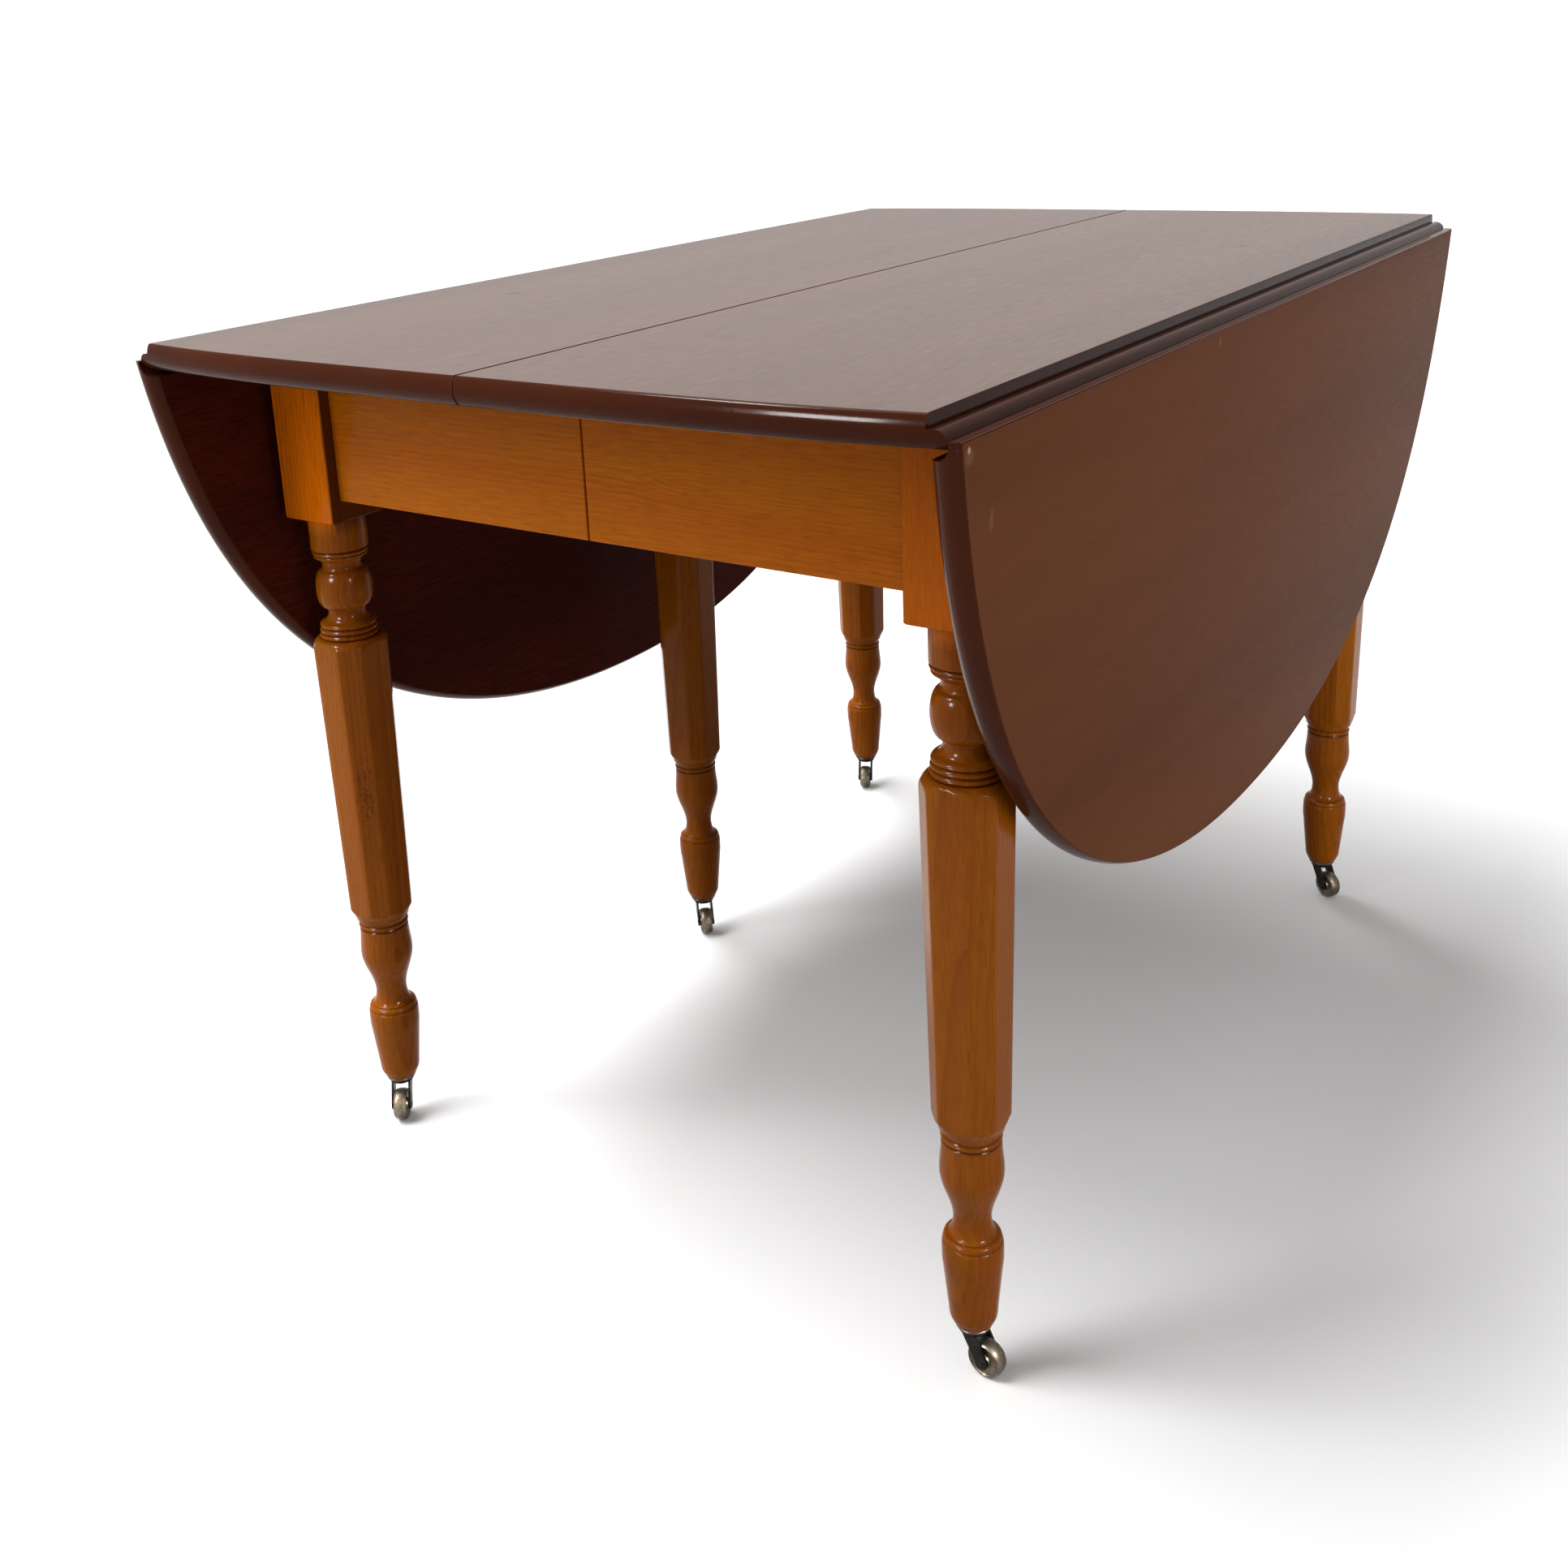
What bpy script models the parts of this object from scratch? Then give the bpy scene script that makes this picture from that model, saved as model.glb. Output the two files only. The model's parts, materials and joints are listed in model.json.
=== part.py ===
"""Drop-leaf extension dining table.

A top in two halves draws apart on dovetailed runners, a leaf hangs on a rule joint at each side, and five
turned legs stand on swivelling casters. Metres, +Z up. The origin is on the floor under the middle of the
seam, X runs across the table from the left leaf to the right one, and Y runs along the seam from the front
to the back. Pieces that both halves have are drawn once in a side frame, whose X points away from the seam,
and the left half is the right one turned half round.
"""

import math

import bmesh
import bpy
from mathutils import Vector

# Clearances
FIT = 0.0003
RUN = 0.0005

# Top and leaves
TABLE_HEIGHT = 0.737
TOP_THICKNESS = 0.0205
TOP_LENGTH = 1.110
OPEN_WIDTH = 1.522
HINGE_LINE = 0.341
OUTLINE_POWER_X = 3.7
OUTLINE_POWER_Y = 2.15
HALF_END_STEPS = 8
LEAF_EDGE_STEPS = 14

# Moulded edge: how far in from the outline the upper and lower faces stop
EDGE_WIDEST = 0.0100
EDGE_ROUND_ABOVE = 0.0028
EDGE_ROUND_BELOW = 0.0050
EDGE_POWER = 2.2
EDGE_STEPS = 3

# Rule joint between a half and its leaf
FILLET_HEIGHT = 0.0086
AXIS_RISE = 0.0035
AXIS_SETOUT = 0.0035
RULE_GAP = 0.0006
RULE_STEPS = 8
LEAF_HANG = math.radians(1.9)

# Seam
SEAM_GAP = 0.0008
APRON_GAP = 0.0016
SEAM_PIN_RADIUS = 0.0040
SEAM_PIN_LENGTH = 0.024
SEAM_PIN_SPACING = 0.360

# Legs
LEG_BLOCK = 0.058
LEG_INSET = 0.0163
LEG_END_INSET = 0.0980
BLOCK_DROP = 0.0185
OCTAGON_TOP = 0.064
OCTAGON_FOOT = 0.056
RING_SIDES = 16

# Turning under the block: drop below the block, radius, form of the way there, steps
UPPER_TURNING = (
    (0.0000, 0.0240, "line", 1),
    (0.0290, 0.0240, "line", 1),
    (0.0368, 0.0212, "leave", 1),
    (0.0435, 0.0162, "arrive", 2),
    (0.0640, 0.0238, "arrive", 3),
    (0.0835, 0.0156, "leave", 3),
    (0.0915, 0.0222, "ease", 2),
    (0.0945, 0.0238, "line", 1),
    (0.0965, 0.0228, "line", 1),
    (0.0990, 0.0242, "line", 1),
    (0.1010, 0.0232, "line", 1),
    (0.1040, 0.0246, "line", 1),
    (0.1065, 0.0240, "line", 1),
)

# Turning over the foot: height above the end of the wood, radius, form, steps
LOWER_TURNING = (
    (0.1660, 0.0236, "line", 1),
    (0.1600, 0.0215, "arrive", 1),
    (0.1570, 0.0222, "line", 1),
    (0.1545, 0.0228, "line", 1),
    (0.1520, 0.0215, "line", 1),
    (0.1290, 0.0230, "arrive", 2),
    (0.0900, 0.0137, "ease", 5),
    (0.0690, 0.0218, "ease", 4),
    (0.0560, 0.0220, "line", 1),
    (0.0140, 0.0178, "line", 1),
    (0.0030, 0.0138, "leave", 2),
    (0.0000, 0.0120, "line", 1),
)

# Shoulders of the octagon: distance along the leg and share of the full width
OCTAGON_SHOULDERS = ((0.0020, 0.90), (0.0090, 1.0))
OCTAGON_HEAD_DROP = 0.1065
OCTAGON_TAIL_RISE = 0.1660

# Aprons and side rails
APRON_HEIGHT = 0.122
APRON_THICKNESS = 0.022
APRON_SETBACK = 0.0100
RAIL_THICKNESS = 0.020
RAIL_SETBACK = 0.019
TENON_LENGTH = 0.020
TENON_THICKNESS = 0.009
TENON_SHOULDER = 0.012

# Extension runners
RUNNER_WIDTH = 0.024
RUNNER_HEIGHT = 0.040
RUNNER_SPREAD = 0.205
RUNNER_END_GAP = 0.0050
DOVETAIL_DEPTH = 0.008
DOVETAIL_ROOT = 0.010
DOVETAIL_TIP = 0.016

# Middle leg, carried on a cross rail at the tail of the right half's runners
CROSS_RAIL_THICKNESS = 0.020
MIDDLE_LEG_GAP = 0.0016
SPIGOT_RADIUS = 0.012

# Pull-out bars that carry a raised leaf
BAR_WIDTH = 0.030
BAR_HEIGHT = 0.024
BAR_LENGTH = 0.240
BAR_PROUD = 0.0020
BAR_SPACE = 0.008
KEEPER_LENGTH = 0.030
KEEPER_WALL = 0.012
KEEPER_FLOOR = 0.008
KEEPER_FROM_END = 0.012

# Leaf hinges
HINGE_FROM_LEG = 0.0856
HINGE_LENGTH = 0.050
PLATE_THICKNESS = 0.0022
PLATE_START = 0.011
PLATE_RAIL_GAP = 0.0008
LEAF_PLATE_WIDTH = 0.044
BARREL_BITE = 0.0006
BARREL_SIDES = 10
HINGE_PIN_RADIUS = 0.0017
MIDDLE_KNUCKLE = 0.0172
KNUCKLE_INSET = 0.0002
GROOVE_CLEARANCE = 0.0006

# Casters
WHEEL_RADIUS = 0.014
WHEEL_WIDTH = 0.012
WHEEL_EDGE = 0.0015
WHEEL_SIDES = 16
WHEEL_HEADROOM = 0.0043
AXLE_RADIUS = 0.0022
TRAIL = 0.011
CHEEK_THICKNESS = 0.0022
CHEEK_CLEARANCE = 0.0006
CHEEK_TOP_WIDTH = 0.012
CHEEK_EYE = 0.0052
CROWN_RADIUS = 0.0110
CROWN_THICKNESS = 0.0035
RIVET_RADIUS = 0.0046
RIVET_THICKNESS = 0.0012
PIVOT_RADIUS = 0.0030
FOOT_PLATE_RADIUS = 0.0132
FOOT_PLATE_THICKNESS = 0.0019
STEM_RADIUS = 0.0042
STEM_LENGTH = 0.026

# Way that each wheel trails behind its leg, from +X towards +Y
SWIVEL = {
    "front_left": math.radians(-54),
    "front_right": math.radians(-5),
    "back_left": math.radians(-65),
    "back_right": math.radians(-30),
    "middle": math.radians(-45),
}

SIDES = {"left": -1, "right": 1}
ENDS = {"front": -1, "back": 1}

# Heights worked out from the sizes above
UNDERSIDE = TABLE_HEIGHT - TOP_THICKNESS
AXIS_Z = UNDERSIDE + AXIS_RISE
AXIS_DROP = TABLE_HEIGHT - AXIS_Z
AXIS_X = HINGE_LINE + AXIS_SETOUT
OVOLO_RADIUS = math.hypot(AXIS_SETOUT, AXIS_DROP - FILLET_HEIGHT)
COVE_RADIUS = OVOLO_RADIUS + RULE_GAP
FRAME_TOP = UNDERSIDE - FIT
APRON_BOTTOM = FRAME_TOP - APRON_HEIGHT
BLOCK_BOTTOM = APRON_BOTTOM - BLOCK_DROP
RUNNER_TOP = UNDERSIDE - RUN
RUNNER_BOTTOM = RUNNER_TOP - RUNNER_HEIGHT
CROSS_RAIL_TOP = RUNNER_BOTTOM - RUN
CROSS_RAIL_BOTTOM = CROSS_RAIL_TOP - CROSS_RAIL_THICKNESS
RIVET_BOTTOM = 2 * WHEEL_RADIUS + WHEEL_HEADROOM
CROWN_BOTTOM = RIVET_BOTTOM + RIVET_THICKNESS + RUN
CROWN_TOP = CROWN_BOTTOM + CROWN_THICKNESS
FOOT_PLATE_BOTTOM = CROWN_TOP + FIT
FOOT_PLATE_TOP = FOOT_PLATE_BOTTOM + FOOT_PLATE_THICKNESS
FOOT_END = FOOT_PLATE_TOP + FIT
STEM_TOP = FOOT_PLATE_TOP + STEM_LENGTH


def half_length(x):
    """Half the length of the top at a distance x from the seam."""
    share = 1 - (abs(x) / (OPEN_WIDTH / 2)) ** OUTLINE_POWER_X
    return TOP_LENGTH / 2 * share ** (1 / OUTLINE_POWER_Y)


# Plan positions worked out from the sizes above
LEG_X = HINGE_LINE - LEG_INSET - LEG_BLOCK / 2
LEG_Y = half_length(HINGE_LINE) - LEG_END_INSET - LEG_BLOCK / 2
BLOCK_INNER_X = LEG_X - LEG_BLOCK / 2
BLOCK_INNER_Y = LEG_Y - LEG_BLOCK / 2
APRON_FACE = LEG_Y + LEG_BLOCK / 2 - APRON_SETBACK
RAIL_FACE = LEG_X + LEG_BLOCK / 2 - RAIL_SETBACK
RAIL_INNER = RAIL_FACE - RAIL_THICKNESS
APRON_MIDDLE = APRON_FACE - APRON_THICKNESS / 2
RAIL_MIDDLE = RAIL_FACE - RAIL_THICKNESS / 2
MIDDLE_LEG_X = -(RAIL_INNER - MIDDLE_LEG_GAP - LEG_BLOCK / 2)
RUNNER_OUTER = RUNNER_SPREAD + RUNNER_WIDTH
SLOT_FACE = RUNNER_OUTER + RUN
SLOT_RUNNER_OUTER = SLOT_FACE + RUNNER_WIDTH
RUNNER_REACH = RAIL_INNER - RUNNER_END_GAP
BAR_Y = RUNNER_SPREAD - BAR_SPACE - KEEPER_WALL - BAR_WIDTH / 2
BAR_OUTER = RAIL_FACE + BAR_PROUD
BAR_INNER = BAR_OUTER - BAR_LENGTH
BAR_TOP = UNDERSIDE - RUN
BAR_BOTTOM = BAR_TOP - BAR_HEIGHT
PLATE_NEAR = AXIS_RISE + FIT
PLATE_FAR = PLATE_NEAR + PLATE_THICKNESS
BARREL_RADIUS = PLATE_NEAR + BARREL_BITE
FIXED_PLATE_END = AXIS_X - RAIL_FACE - PLATE_RAIL_GAP
HINGE_SPACING = BLOCK_INNER_Y - HINGE_FROM_LEG


def clear_scene():
    """Empty the scene of the objects that a new file starts with."""
    for thing in list(bpy.data.objects):
        bpy.data.objects.remove(thing)


def finish(name, colour, roughness, metallic=0.0):
    """A Principled material with one colour, given as sRGB hex."""
    material = bpy.data.materials.new(name)
    material.use_nodes = True
    shader = material.node_tree.nodes["Principled BSDF"]
    channels = [int(colour[place:place + 2], 16) / 255 for place in (0, 2, 4)]
    linear = [(value / 12.92) if value <= 0.04045 else ((value + 0.055) / 1.055) ** 2.4 for value in channels]
    shader.inputs["Base Color"].default_value = (*linear, 1.0)
    shader.inputs["Roughness"].default_value = roughness
    shader.inputs["Metallic"].default_value = metallic
    material.diffuse_color = (*linear, 1.0)
    return material


def loft(rings, wrap=False):
    """Mesh through rings of equal count, capped at both ends or joined from the last ring to the first."""
    shape = bmesh.new()
    rows = [[shape.verts.new(point) for point in ring] for ring in rings]
    count = len(rows[0])
    pairs = list(zip(rows, rows[1:]))
    if wrap:
        pairs.append((rows[-1], rows[0]))
    for row, following in pairs:
        for place in range(count):
            after = (place + 1) % count
            shape.faces.new((row[place], row[after], following[after], following[place]))
    if not wrap:
        shape.faces.new(rows[0])
        shape.faces.new(rows[-1])
    bmesh.ops.recalc_face_normals(shape, faces=shape.faces)
    mesh = bpy.data.meshes.new("piece")
    shape.to_mesh(mesh)
    shape.free()
    return mesh


def prism(outline, axis, start, stop):
    """Outline drawn across an axis and drawn out along it."""
    places = {
        "x": lambda along, a, b: (along, a, b),
        "y": lambda along, a, b: (a, along, b),
        "z": lambda along, a, b: (a, b, along),
    }
    place = places[axis]
    return loft([[Vector(place(along, a, b)) for a, b in outline] for along in (start, stop)])


def rectangle(low, high):
    """Corners of a rectangle in order round it."""
    return [(low[0], low[1]), (high[0], low[1]), (high[0], high[1]), (low[0], high[1])]


def box(low, high):
    """Box between two corners."""
    return prism(rectangle(low[:2], high[:2]), "z", low[2], high[2])


def circle(radius, sides, centre=(0.0, 0.0)):
    """Points round a circle, with a flat side facing down."""
    turn = math.pi / sides - math.pi / 2
    points = []
    for place in range(sides):
        angle = turn + 2 * math.pi * place / sides
        points.append((centre[0] + radius * math.cos(angle), centre[1] + radius * math.sin(angle)))
    return points


def arc(radius, start, stop, steps):
    """Points along an arc about the origin, both ends included."""
    angles = [start + (stop - start) * step / steps for step in range(steps + 1)]
    return [(radius * math.cos(angle), radius * math.sin(angle)) for angle in angles]


def carve(mesh, tools, operation="DIFFERENCE"):
    """Mesh with each tool mesh cut from it or joined to it."""
    scene = bpy.context.scene.collection.objects
    body = bpy.data.objects.new("body", mesh)
    scene.link(body)
    helpers = []
    for tool in tools:
        helper = bpy.data.objects.new("tool", tool)
        helper.hide_render = True
        helper.display_type = "WIRE"
        scene.link(helper)
        step = body.modifiers.new("carve", "BOOLEAN")
        step.operation = operation
        step.object = helper
        helpers.append(helper)
    bpy.context.view_layer.update()
    result = bpy.data.meshes.new_from_object(body.evaluated_get(bpy.context.evaluated_depsgraph_get()))
    for thing in [body] + helpers:
        bpy.data.objects.remove(thing)
    return result


def add_piece(name, mesh, material, parent=None, location=(0, 0, 0), rotation=(0, 0, 0), smooth=30):
    """Object with its own place, shaded smooth up to an angle in degrees."""
    mesh.shade_smooth()
    mesh.set_sharp_from_angle(angle=math.radians(smooth))
    mesh.materials.clear()
    mesh.materials.append(material)
    piece = bpy.data.objects.new(name, mesh)
    bpy.context.scene.collection.objects.link(piece)
    piece.location = location
    piece.rotation_euler = rotation
    piece.parent = parent
    return piece


def add_empty(name, location=(0, 0, 0), turn=0.0, parent=None):
    """Empty that pieces are placed from, turned about Z."""
    empty = bpy.data.objects.new(name, None)
    bpy.context.scene.collection.objects.link(empty)
    empty.location = location
    empty.rotation_euler = (0, 0, turn)
    empty.parent = parent
    return empty


def edge_levels():
    """Depth below the upper face and inset from the outline, down the moulded edge."""
    levels = []
    for step in range(EDGE_STEPS, 0, -1):
        rise = step / EDGE_STEPS
        levels.append((EDGE_WIDEST * (1 - rise), EDGE_ROUND_ABOVE * rise ** EDGE_POWER))
    for step in range(EDGE_STEPS + 1):
        fall = step / EDGE_STEPS
        depth = EDGE_WIDEST + (TOP_THICKNESS - EDGE_WIDEST) * fall
        levels.append((depth, EDGE_ROUND_BELOW * fall ** EDGE_POWER))
    return levels


def outline(near, far, inset, steps):
    """Plan of a board from near to far of the seam: up the back edge and down the front one."""
    reach = OPEN_WIDTH / 2 - inset
    half = TOP_LENGTH / 2 - inset
    start = math.acos((near / reach) ** (OUTLINE_POWER_X / 2))
    stop = math.acos((min(far, reach) / reach) ** (OUTLINE_POWER_X / 2))
    back = []
    for step in range(steps + 1):
        share = step / steps
        angle = start * (1 - share) + stop * share
        x = reach * math.cos(angle) ** (2 / OUTLINE_POWER_X)
        y = half * math.sin(angle) ** (2 / OUTLINE_POWER_Y)
        back.append((x, y))
    past_tip = back[:-1] if far >= OPEN_WIDTH / 2 else back
    return back + [(x, -y) for x, y in reversed(past_tip)]


def board(near, far, steps):
    """Board with the moulded edge, lying at the height of the top."""
    rings = []
    for depth, inset in edge_levels():
        plan = outline(near, far, inset, steps)
        rings.append([Vector((x, y, TABLE_HEIGHT - depth)) for x, y in plan])
    return loft(rings)


def moved(mesh, offset):
    """Mesh shifted by an offset."""
    for vertex in mesh.vertices:
        vertex.co += Vector(offset)
    return mesh


def half_top_mesh():
    """One half of the fixed top in the side frame, with its ovolo, hinge grooves and seam pin holes."""
    beyond = AXIS_X + COVE_RADIUS
    blank = board(SEAM_GAP / 2, beyond, HALF_END_STEPS)
    start = math.atan2(AXIS_DROP - FILLET_HEIGHT, -AXIS_SETOUT)
    stop = -math.asin(AXIS_RISE / OVOLO_RADIUS)
    ovolo = [(AXIS_X + x, AXIS_Z + z) for x, z in arc(OVOLO_RADIUS, start, stop, RULE_STEPS)]
    above = TABLE_HEIGHT + COVE_RADIUS
    below = UNDERSIDE - COVE_RADIUS
    waste = [(HINGE_LINE, above)] + ovolo
    waste += [(ovolo[-1][0], below), (beyond + COVE_RADIUS, below), (beyond + COVE_RADIUS, above)]
    tools = [prism(waste, "y", -TOP_LENGTH, TOP_LENGTH)]
    groove_in = AXIS_X - PLATE_FAR - GROOVE_CLEARANCE
    groove_out = AXIS_X + BARREL_RADIUS + GROOVE_CLEARANCE
    groove_top = AXIS_Z + BARREL_RADIUS + GROOVE_CLEARANCE
    reach = HINGE_LENGTH / 2 + GROOVE_CLEARANCE
    for middle in (-HINGE_SPACING, 0.0, HINGE_SPACING):
        tools.append(box((groove_in, middle - reach, below), (groove_out, middle + reach, groove_top)))
    for middle in (-SEAM_PIN_SPACING, 0.0, SEAM_PIN_SPACING):
        hole = circle(SEAM_PIN_RADIUS + FIT, BARREL_SIDES, (middle, TABLE_HEIGHT - TOP_THICKNESS / 2))
        tools.append(prism(hole, "x", -SEAM_PIN_LENGTH, SEAM_PIN_LENGTH / 2 + RUN))
    return carve(blank, tools)


def leaf_mesh():
    """Leaf lying open, about its own hinge axis."""
    blank = moved(board(HINGE_LINE, OPEN_WIDTH, LEAF_EDGE_STEPS), (-AXIS_X, 0, -AXIS_Z))
    lip = RULE_GAP - AXIS_SETOUT
    cove = arc(COVE_RADIUS, math.acos(lip / COVE_RADIUS), 0.0, RULE_STEPS)
    above = AXIS_DROP + COVE_RADIUS
    below = -AXIS_RISE - COVE_RADIUS
    inside = -2 * COVE_RADIUS
    waste = [(lip, above)] + cove + [(COVE_RADIUS, below), (inside, below), (inside, above)]
    return carve(blank, [prism(waste, "y", -TOP_LENGTH, TOP_LENGTH)])


def turned_points(rows):
    """Distance and radius down a turning, with its curves worked out."""
    points = [rows[0][:2]]
    for distance, radius, form, steps in rows[1:]:
        first_distance, first_radius = points[-1]
        for step in range(1, steps + 1):
            share = step / steps
            quarter = share * math.pi / 2
            along, across = {
                "line": (share, share),
                "ease": (share, share * share * (3 - 2 * share)),
                "arrive": (1 - math.cos(quarter), math.sin(quarter)),
                "leave": (math.sin(quarter), 1 - math.cos(quarter)),
            }[form]
            points.append((
                first_distance + (distance - first_distance) * along,
                first_radius + (radius - first_radius) * across,
            ))
    return points


def ring(height, reach_at):
    """Ring of points at a height, with a reach for each angle."""
    points = []
    for place in range(RING_SIDES):
        angle = 2 * math.pi * place / RING_SIDES
        reach = reach_at(angle)
        points.append(Vector((reach * math.cos(angle), reach * math.sin(angle), height)))
    return points


def round_ring(height, radius):
    """Ring of a turned section."""
    return ring(height, lambda angle: radius)


def sided_ring(height, half_width, sides):
    """Ring of a section with flat sides, one of them facing +X."""
    step = 2 * math.pi / sides

    def reach_at(angle):
        off = (angle + step / 2) % step - step / 2
        return half_width / math.cos(off)

    return ring(height, reach_at)


def octagon_rings(head, tail):
    """Tapered octagon between two heights, with its rounded shoulders."""
    flat = math.cos(math.pi / 8)
    top = OCTAGON_TOP / 2 * flat
    foot = OCTAGON_FOOT / 2 * flat
    rings = [sided_ring(head - along, top * share, 8) for along, share in OCTAGON_SHOULDERS]
    rings += [sided_ring(tail + along, foot * share, 8) for along, share in reversed(OCTAGON_SHOULDERS)]
    return rings


def leg_mesh(block_top, spigot_top=None):
    """Leg about its own axis, from the block or its spigot down to the caster's socket."""
    rings = []
    if spigot_top is not None:
        rings += [round_ring(spigot_top, SPIGOT_RADIUS), round_ring(block_top, SPIGOT_RADIUS)]
    rings += [sided_ring(height, LEG_BLOCK / 2, 4) for height in (block_top, BLOCK_BOTTOM)]
    rings += [round_ring(BLOCK_BOTTOM - drop, radius) for drop, radius in turned_points(UPPER_TURNING)]
    rings += octagon_rings(BLOCK_BOTTOM - OCTAGON_HEAD_DROP, FOOT_END + OCTAGON_TAIL_RISE)
    rings += [round_ring(FOOT_END + rise, radius) for rise, radius in turned_points(LOWER_TURNING)]
    socket = STEM_RADIUS + RUN
    rings += [round_ring(FOOT_END, socket), round_ring(STEM_TOP + RUN, socket)]
    return loft(rings)


def corner_leg_mesh(end):
    """Corner leg of the right half, with mortises for the apron and the side rail."""
    tenon_low = APRON_BOTTOM + TENON_SHOULDER - FIT
    tenon_high = FRAME_TOP - TENON_SHOULDER + FIT
    half = TENON_THICKNESS / 2 + FIT
    depth = TENON_LENGTH + 2 * FIT
    face = -LEG_BLOCK / 2
    across = end * (APRON_MIDDLE - LEG_Y)
    apron_mortise = box((2 * face, across - half, tenon_low), (face + depth, across + half, tenon_high))
    along = sorted((end * 2 * face, end * (face + depth)))
    beside = RAIL_MIDDLE - LEG_X
    rail_mortise = box((beside - half, along[0], tenon_low), (beside + half, along[1], tenon_high))
    return carve(leg_mesh(FRAME_TOP), [apron_mortise, rail_mortise])


def apron_mesh(end):
    """Apron of one half in the side frame, with its tenon in the corner leg."""
    shoulder = BLOCK_INNER_X - FIT
    face = sorted((end * APRON_FACE, end * (APRON_FACE - APRON_THICKNESS)))
    tenon = [end * APRON_MIDDLE - TENON_THICKNESS / 2, end * APRON_MIDDLE + TENON_THICKNESS / 2]
    full = rectangle((face[0], APRON_BOTTOM), (face[1], FRAME_TOP))
    thin = rectangle((tenon[0], APRON_BOTTOM + TENON_SHOULDER), (tenon[1], FRAME_TOP - TENON_SHOULDER))
    stations = ((APRON_GAP / 2, full), (shoulder, full), (shoulder, thin), (shoulder + TENON_LENGTH, thin))
    return loft([[Vector((x, y, z)) for y, z in section] for x, section in stations])


def side_rail_mesh():
    """Side rail in the side frame, with a tenon at each end and notches for the bars."""
    shoulder = BLOCK_INNER_Y - FIT
    tip = shoulder + TENON_LENGTH
    full = rectangle((RAIL_INNER, APRON_BOTTOM), (RAIL_FACE, FRAME_TOP))
    low = (RAIL_MIDDLE - TENON_THICKNESS / 2, APRON_BOTTOM + TENON_SHOULDER)
    high = (RAIL_MIDDLE + TENON_THICKNESS / 2, FRAME_TOP - TENON_SHOULDER)
    thin = rectangle(low, high)
    stations = ((-tip, thin), (-shoulder, thin), (-shoulder, full), (shoulder, full), (shoulder, thin), (tip, thin))
    blank = loft([[Vector((x, y, z)) for x, z in section] for y, section in stations])
    notches = []
    for middle in (-BAR_Y, BAR_Y):
        half = BAR_WIDTH / 2 + RUN
        low = (RAIL_INNER - RAIL_THICKNESS, middle - half, BAR_BOTTOM - RUN)
        notches.append(box(low, (RAIL_FACE + RAIL_THICKNESS, middle + half, TABLE_HEIGHT)))
    return carve(blank, notches)


def tongue_runner_mesh(end):
    """Left half's runner, with a dovetail tongue on its outer side."""
    middle = (RUNNER_TOP + RUNNER_BOTTOM) / 2
    tip = RUNNER_OUTER + DOVETAIL_DEPTH
    section = [
        (RUNNER_SPREAD, RUNNER_BOTTOM),
        (RUNNER_OUTER, RUNNER_BOTTOM),
        (RUNNER_OUTER, middle - DOVETAIL_ROOT / 2),
        (tip, middle - DOVETAIL_TIP / 2),
        (tip, middle + DOVETAIL_TIP / 2),
        (RUNNER_OUTER, middle + DOVETAIL_ROOT / 2),
        (RUNNER_OUTER, RUNNER_TOP),
        (RUNNER_SPREAD, RUNNER_TOP),
    ]
    return prism([(end * y, z) for y, z in section], "x", -RUNNER_REACH, RUNNER_REACH)


def slot_runner_mesh(end):
    """Right half's runner, with the slot that the tongue runs in."""
    middle = (RUNNER_TOP + RUNNER_BOTTOM) / 2
    depth = SLOT_FACE + DOVETAIL_DEPTH
    mouth = DOVETAIL_ROOT / 2 + RUN
    floor = DOVETAIL_TIP / 2 + RUN
    section = [
        (SLOT_FACE, RUNNER_BOTTOM),
        (SLOT_RUNNER_OUTER, RUNNER_BOTTOM),
        (SLOT_RUNNER_OUTER, RUNNER_TOP),
        (SLOT_FACE, RUNNER_TOP),
        (SLOT_FACE, middle + mouth),
        (depth, middle + floor),
        (depth, middle - floor),
        (SLOT_FACE, middle - mouth),
    ]
    return prism([(end * y, z) for y, z in section], "x", -RUNNER_REACH, RUNNER_REACH)


def cross_rail_mesh():
    """Rail under the right half's runners, with a hole for the middle leg's spigot."""
    low = (MIDDLE_LEG_X - LEG_BLOCK / 2, -SLOT_RUNNER_OUTER, CROSS_RAIL_BOTTOM)
    high = (MIDDLE_LEG_X + LEG_BLOCK / 2, SLOT_RUNNER_OUTER, CROSS_RAIL_TOP)
    hole = circle(SPIGOT_RADIUS + RUN, RING_SIDES, (MIDDLE_LEG_X, 0.0))
    drill = prism(hole, "z", CROSS_RAIL_BOTTOM - CROSS_RAIL_THICKNESS, TABLE_HEIGHT)
    return carve(box(low, high), [drill])


def keeper_mesh(middle):
    """Wooden keeper that holds the inner end of a bar up under the top, in the side frame."""
    inner = BAR_WIDTH / 2 + RUN
    outer = inner + KEEPER_WALL - RUN
    shelf = BAR_BOTTOM - RUN
    base = shelf - KEEPER_FLOOR
    section = [
        (-outer, base), (outer, base), (outer, FRAME_TOP), (inner, FRAME_TOP),
        (inner, shelf), (-inner, shelf), (-inner, FRAME_TOP), (-outer, FRAME_TOP),
    ]
    start = BAR_INNER + KEEPER_FROM_END
    return prism([(middle + y, z) for y, z in section], "x", start, start + KEEPER_LENGTH)


def knuckle_spans():
    """Spans along a hinge of the two fixed knuckles and of the leaf's one between them."""
    half = HINGE_LENGTH / 2
    side = MIDDLE_KNUCKLE / 2 + RUN
    return ((-half, -side), (side, half)), (-MIDDLE_KNUCKLE / 2, MIDDLE_KNUCKLE / 2)


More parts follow.
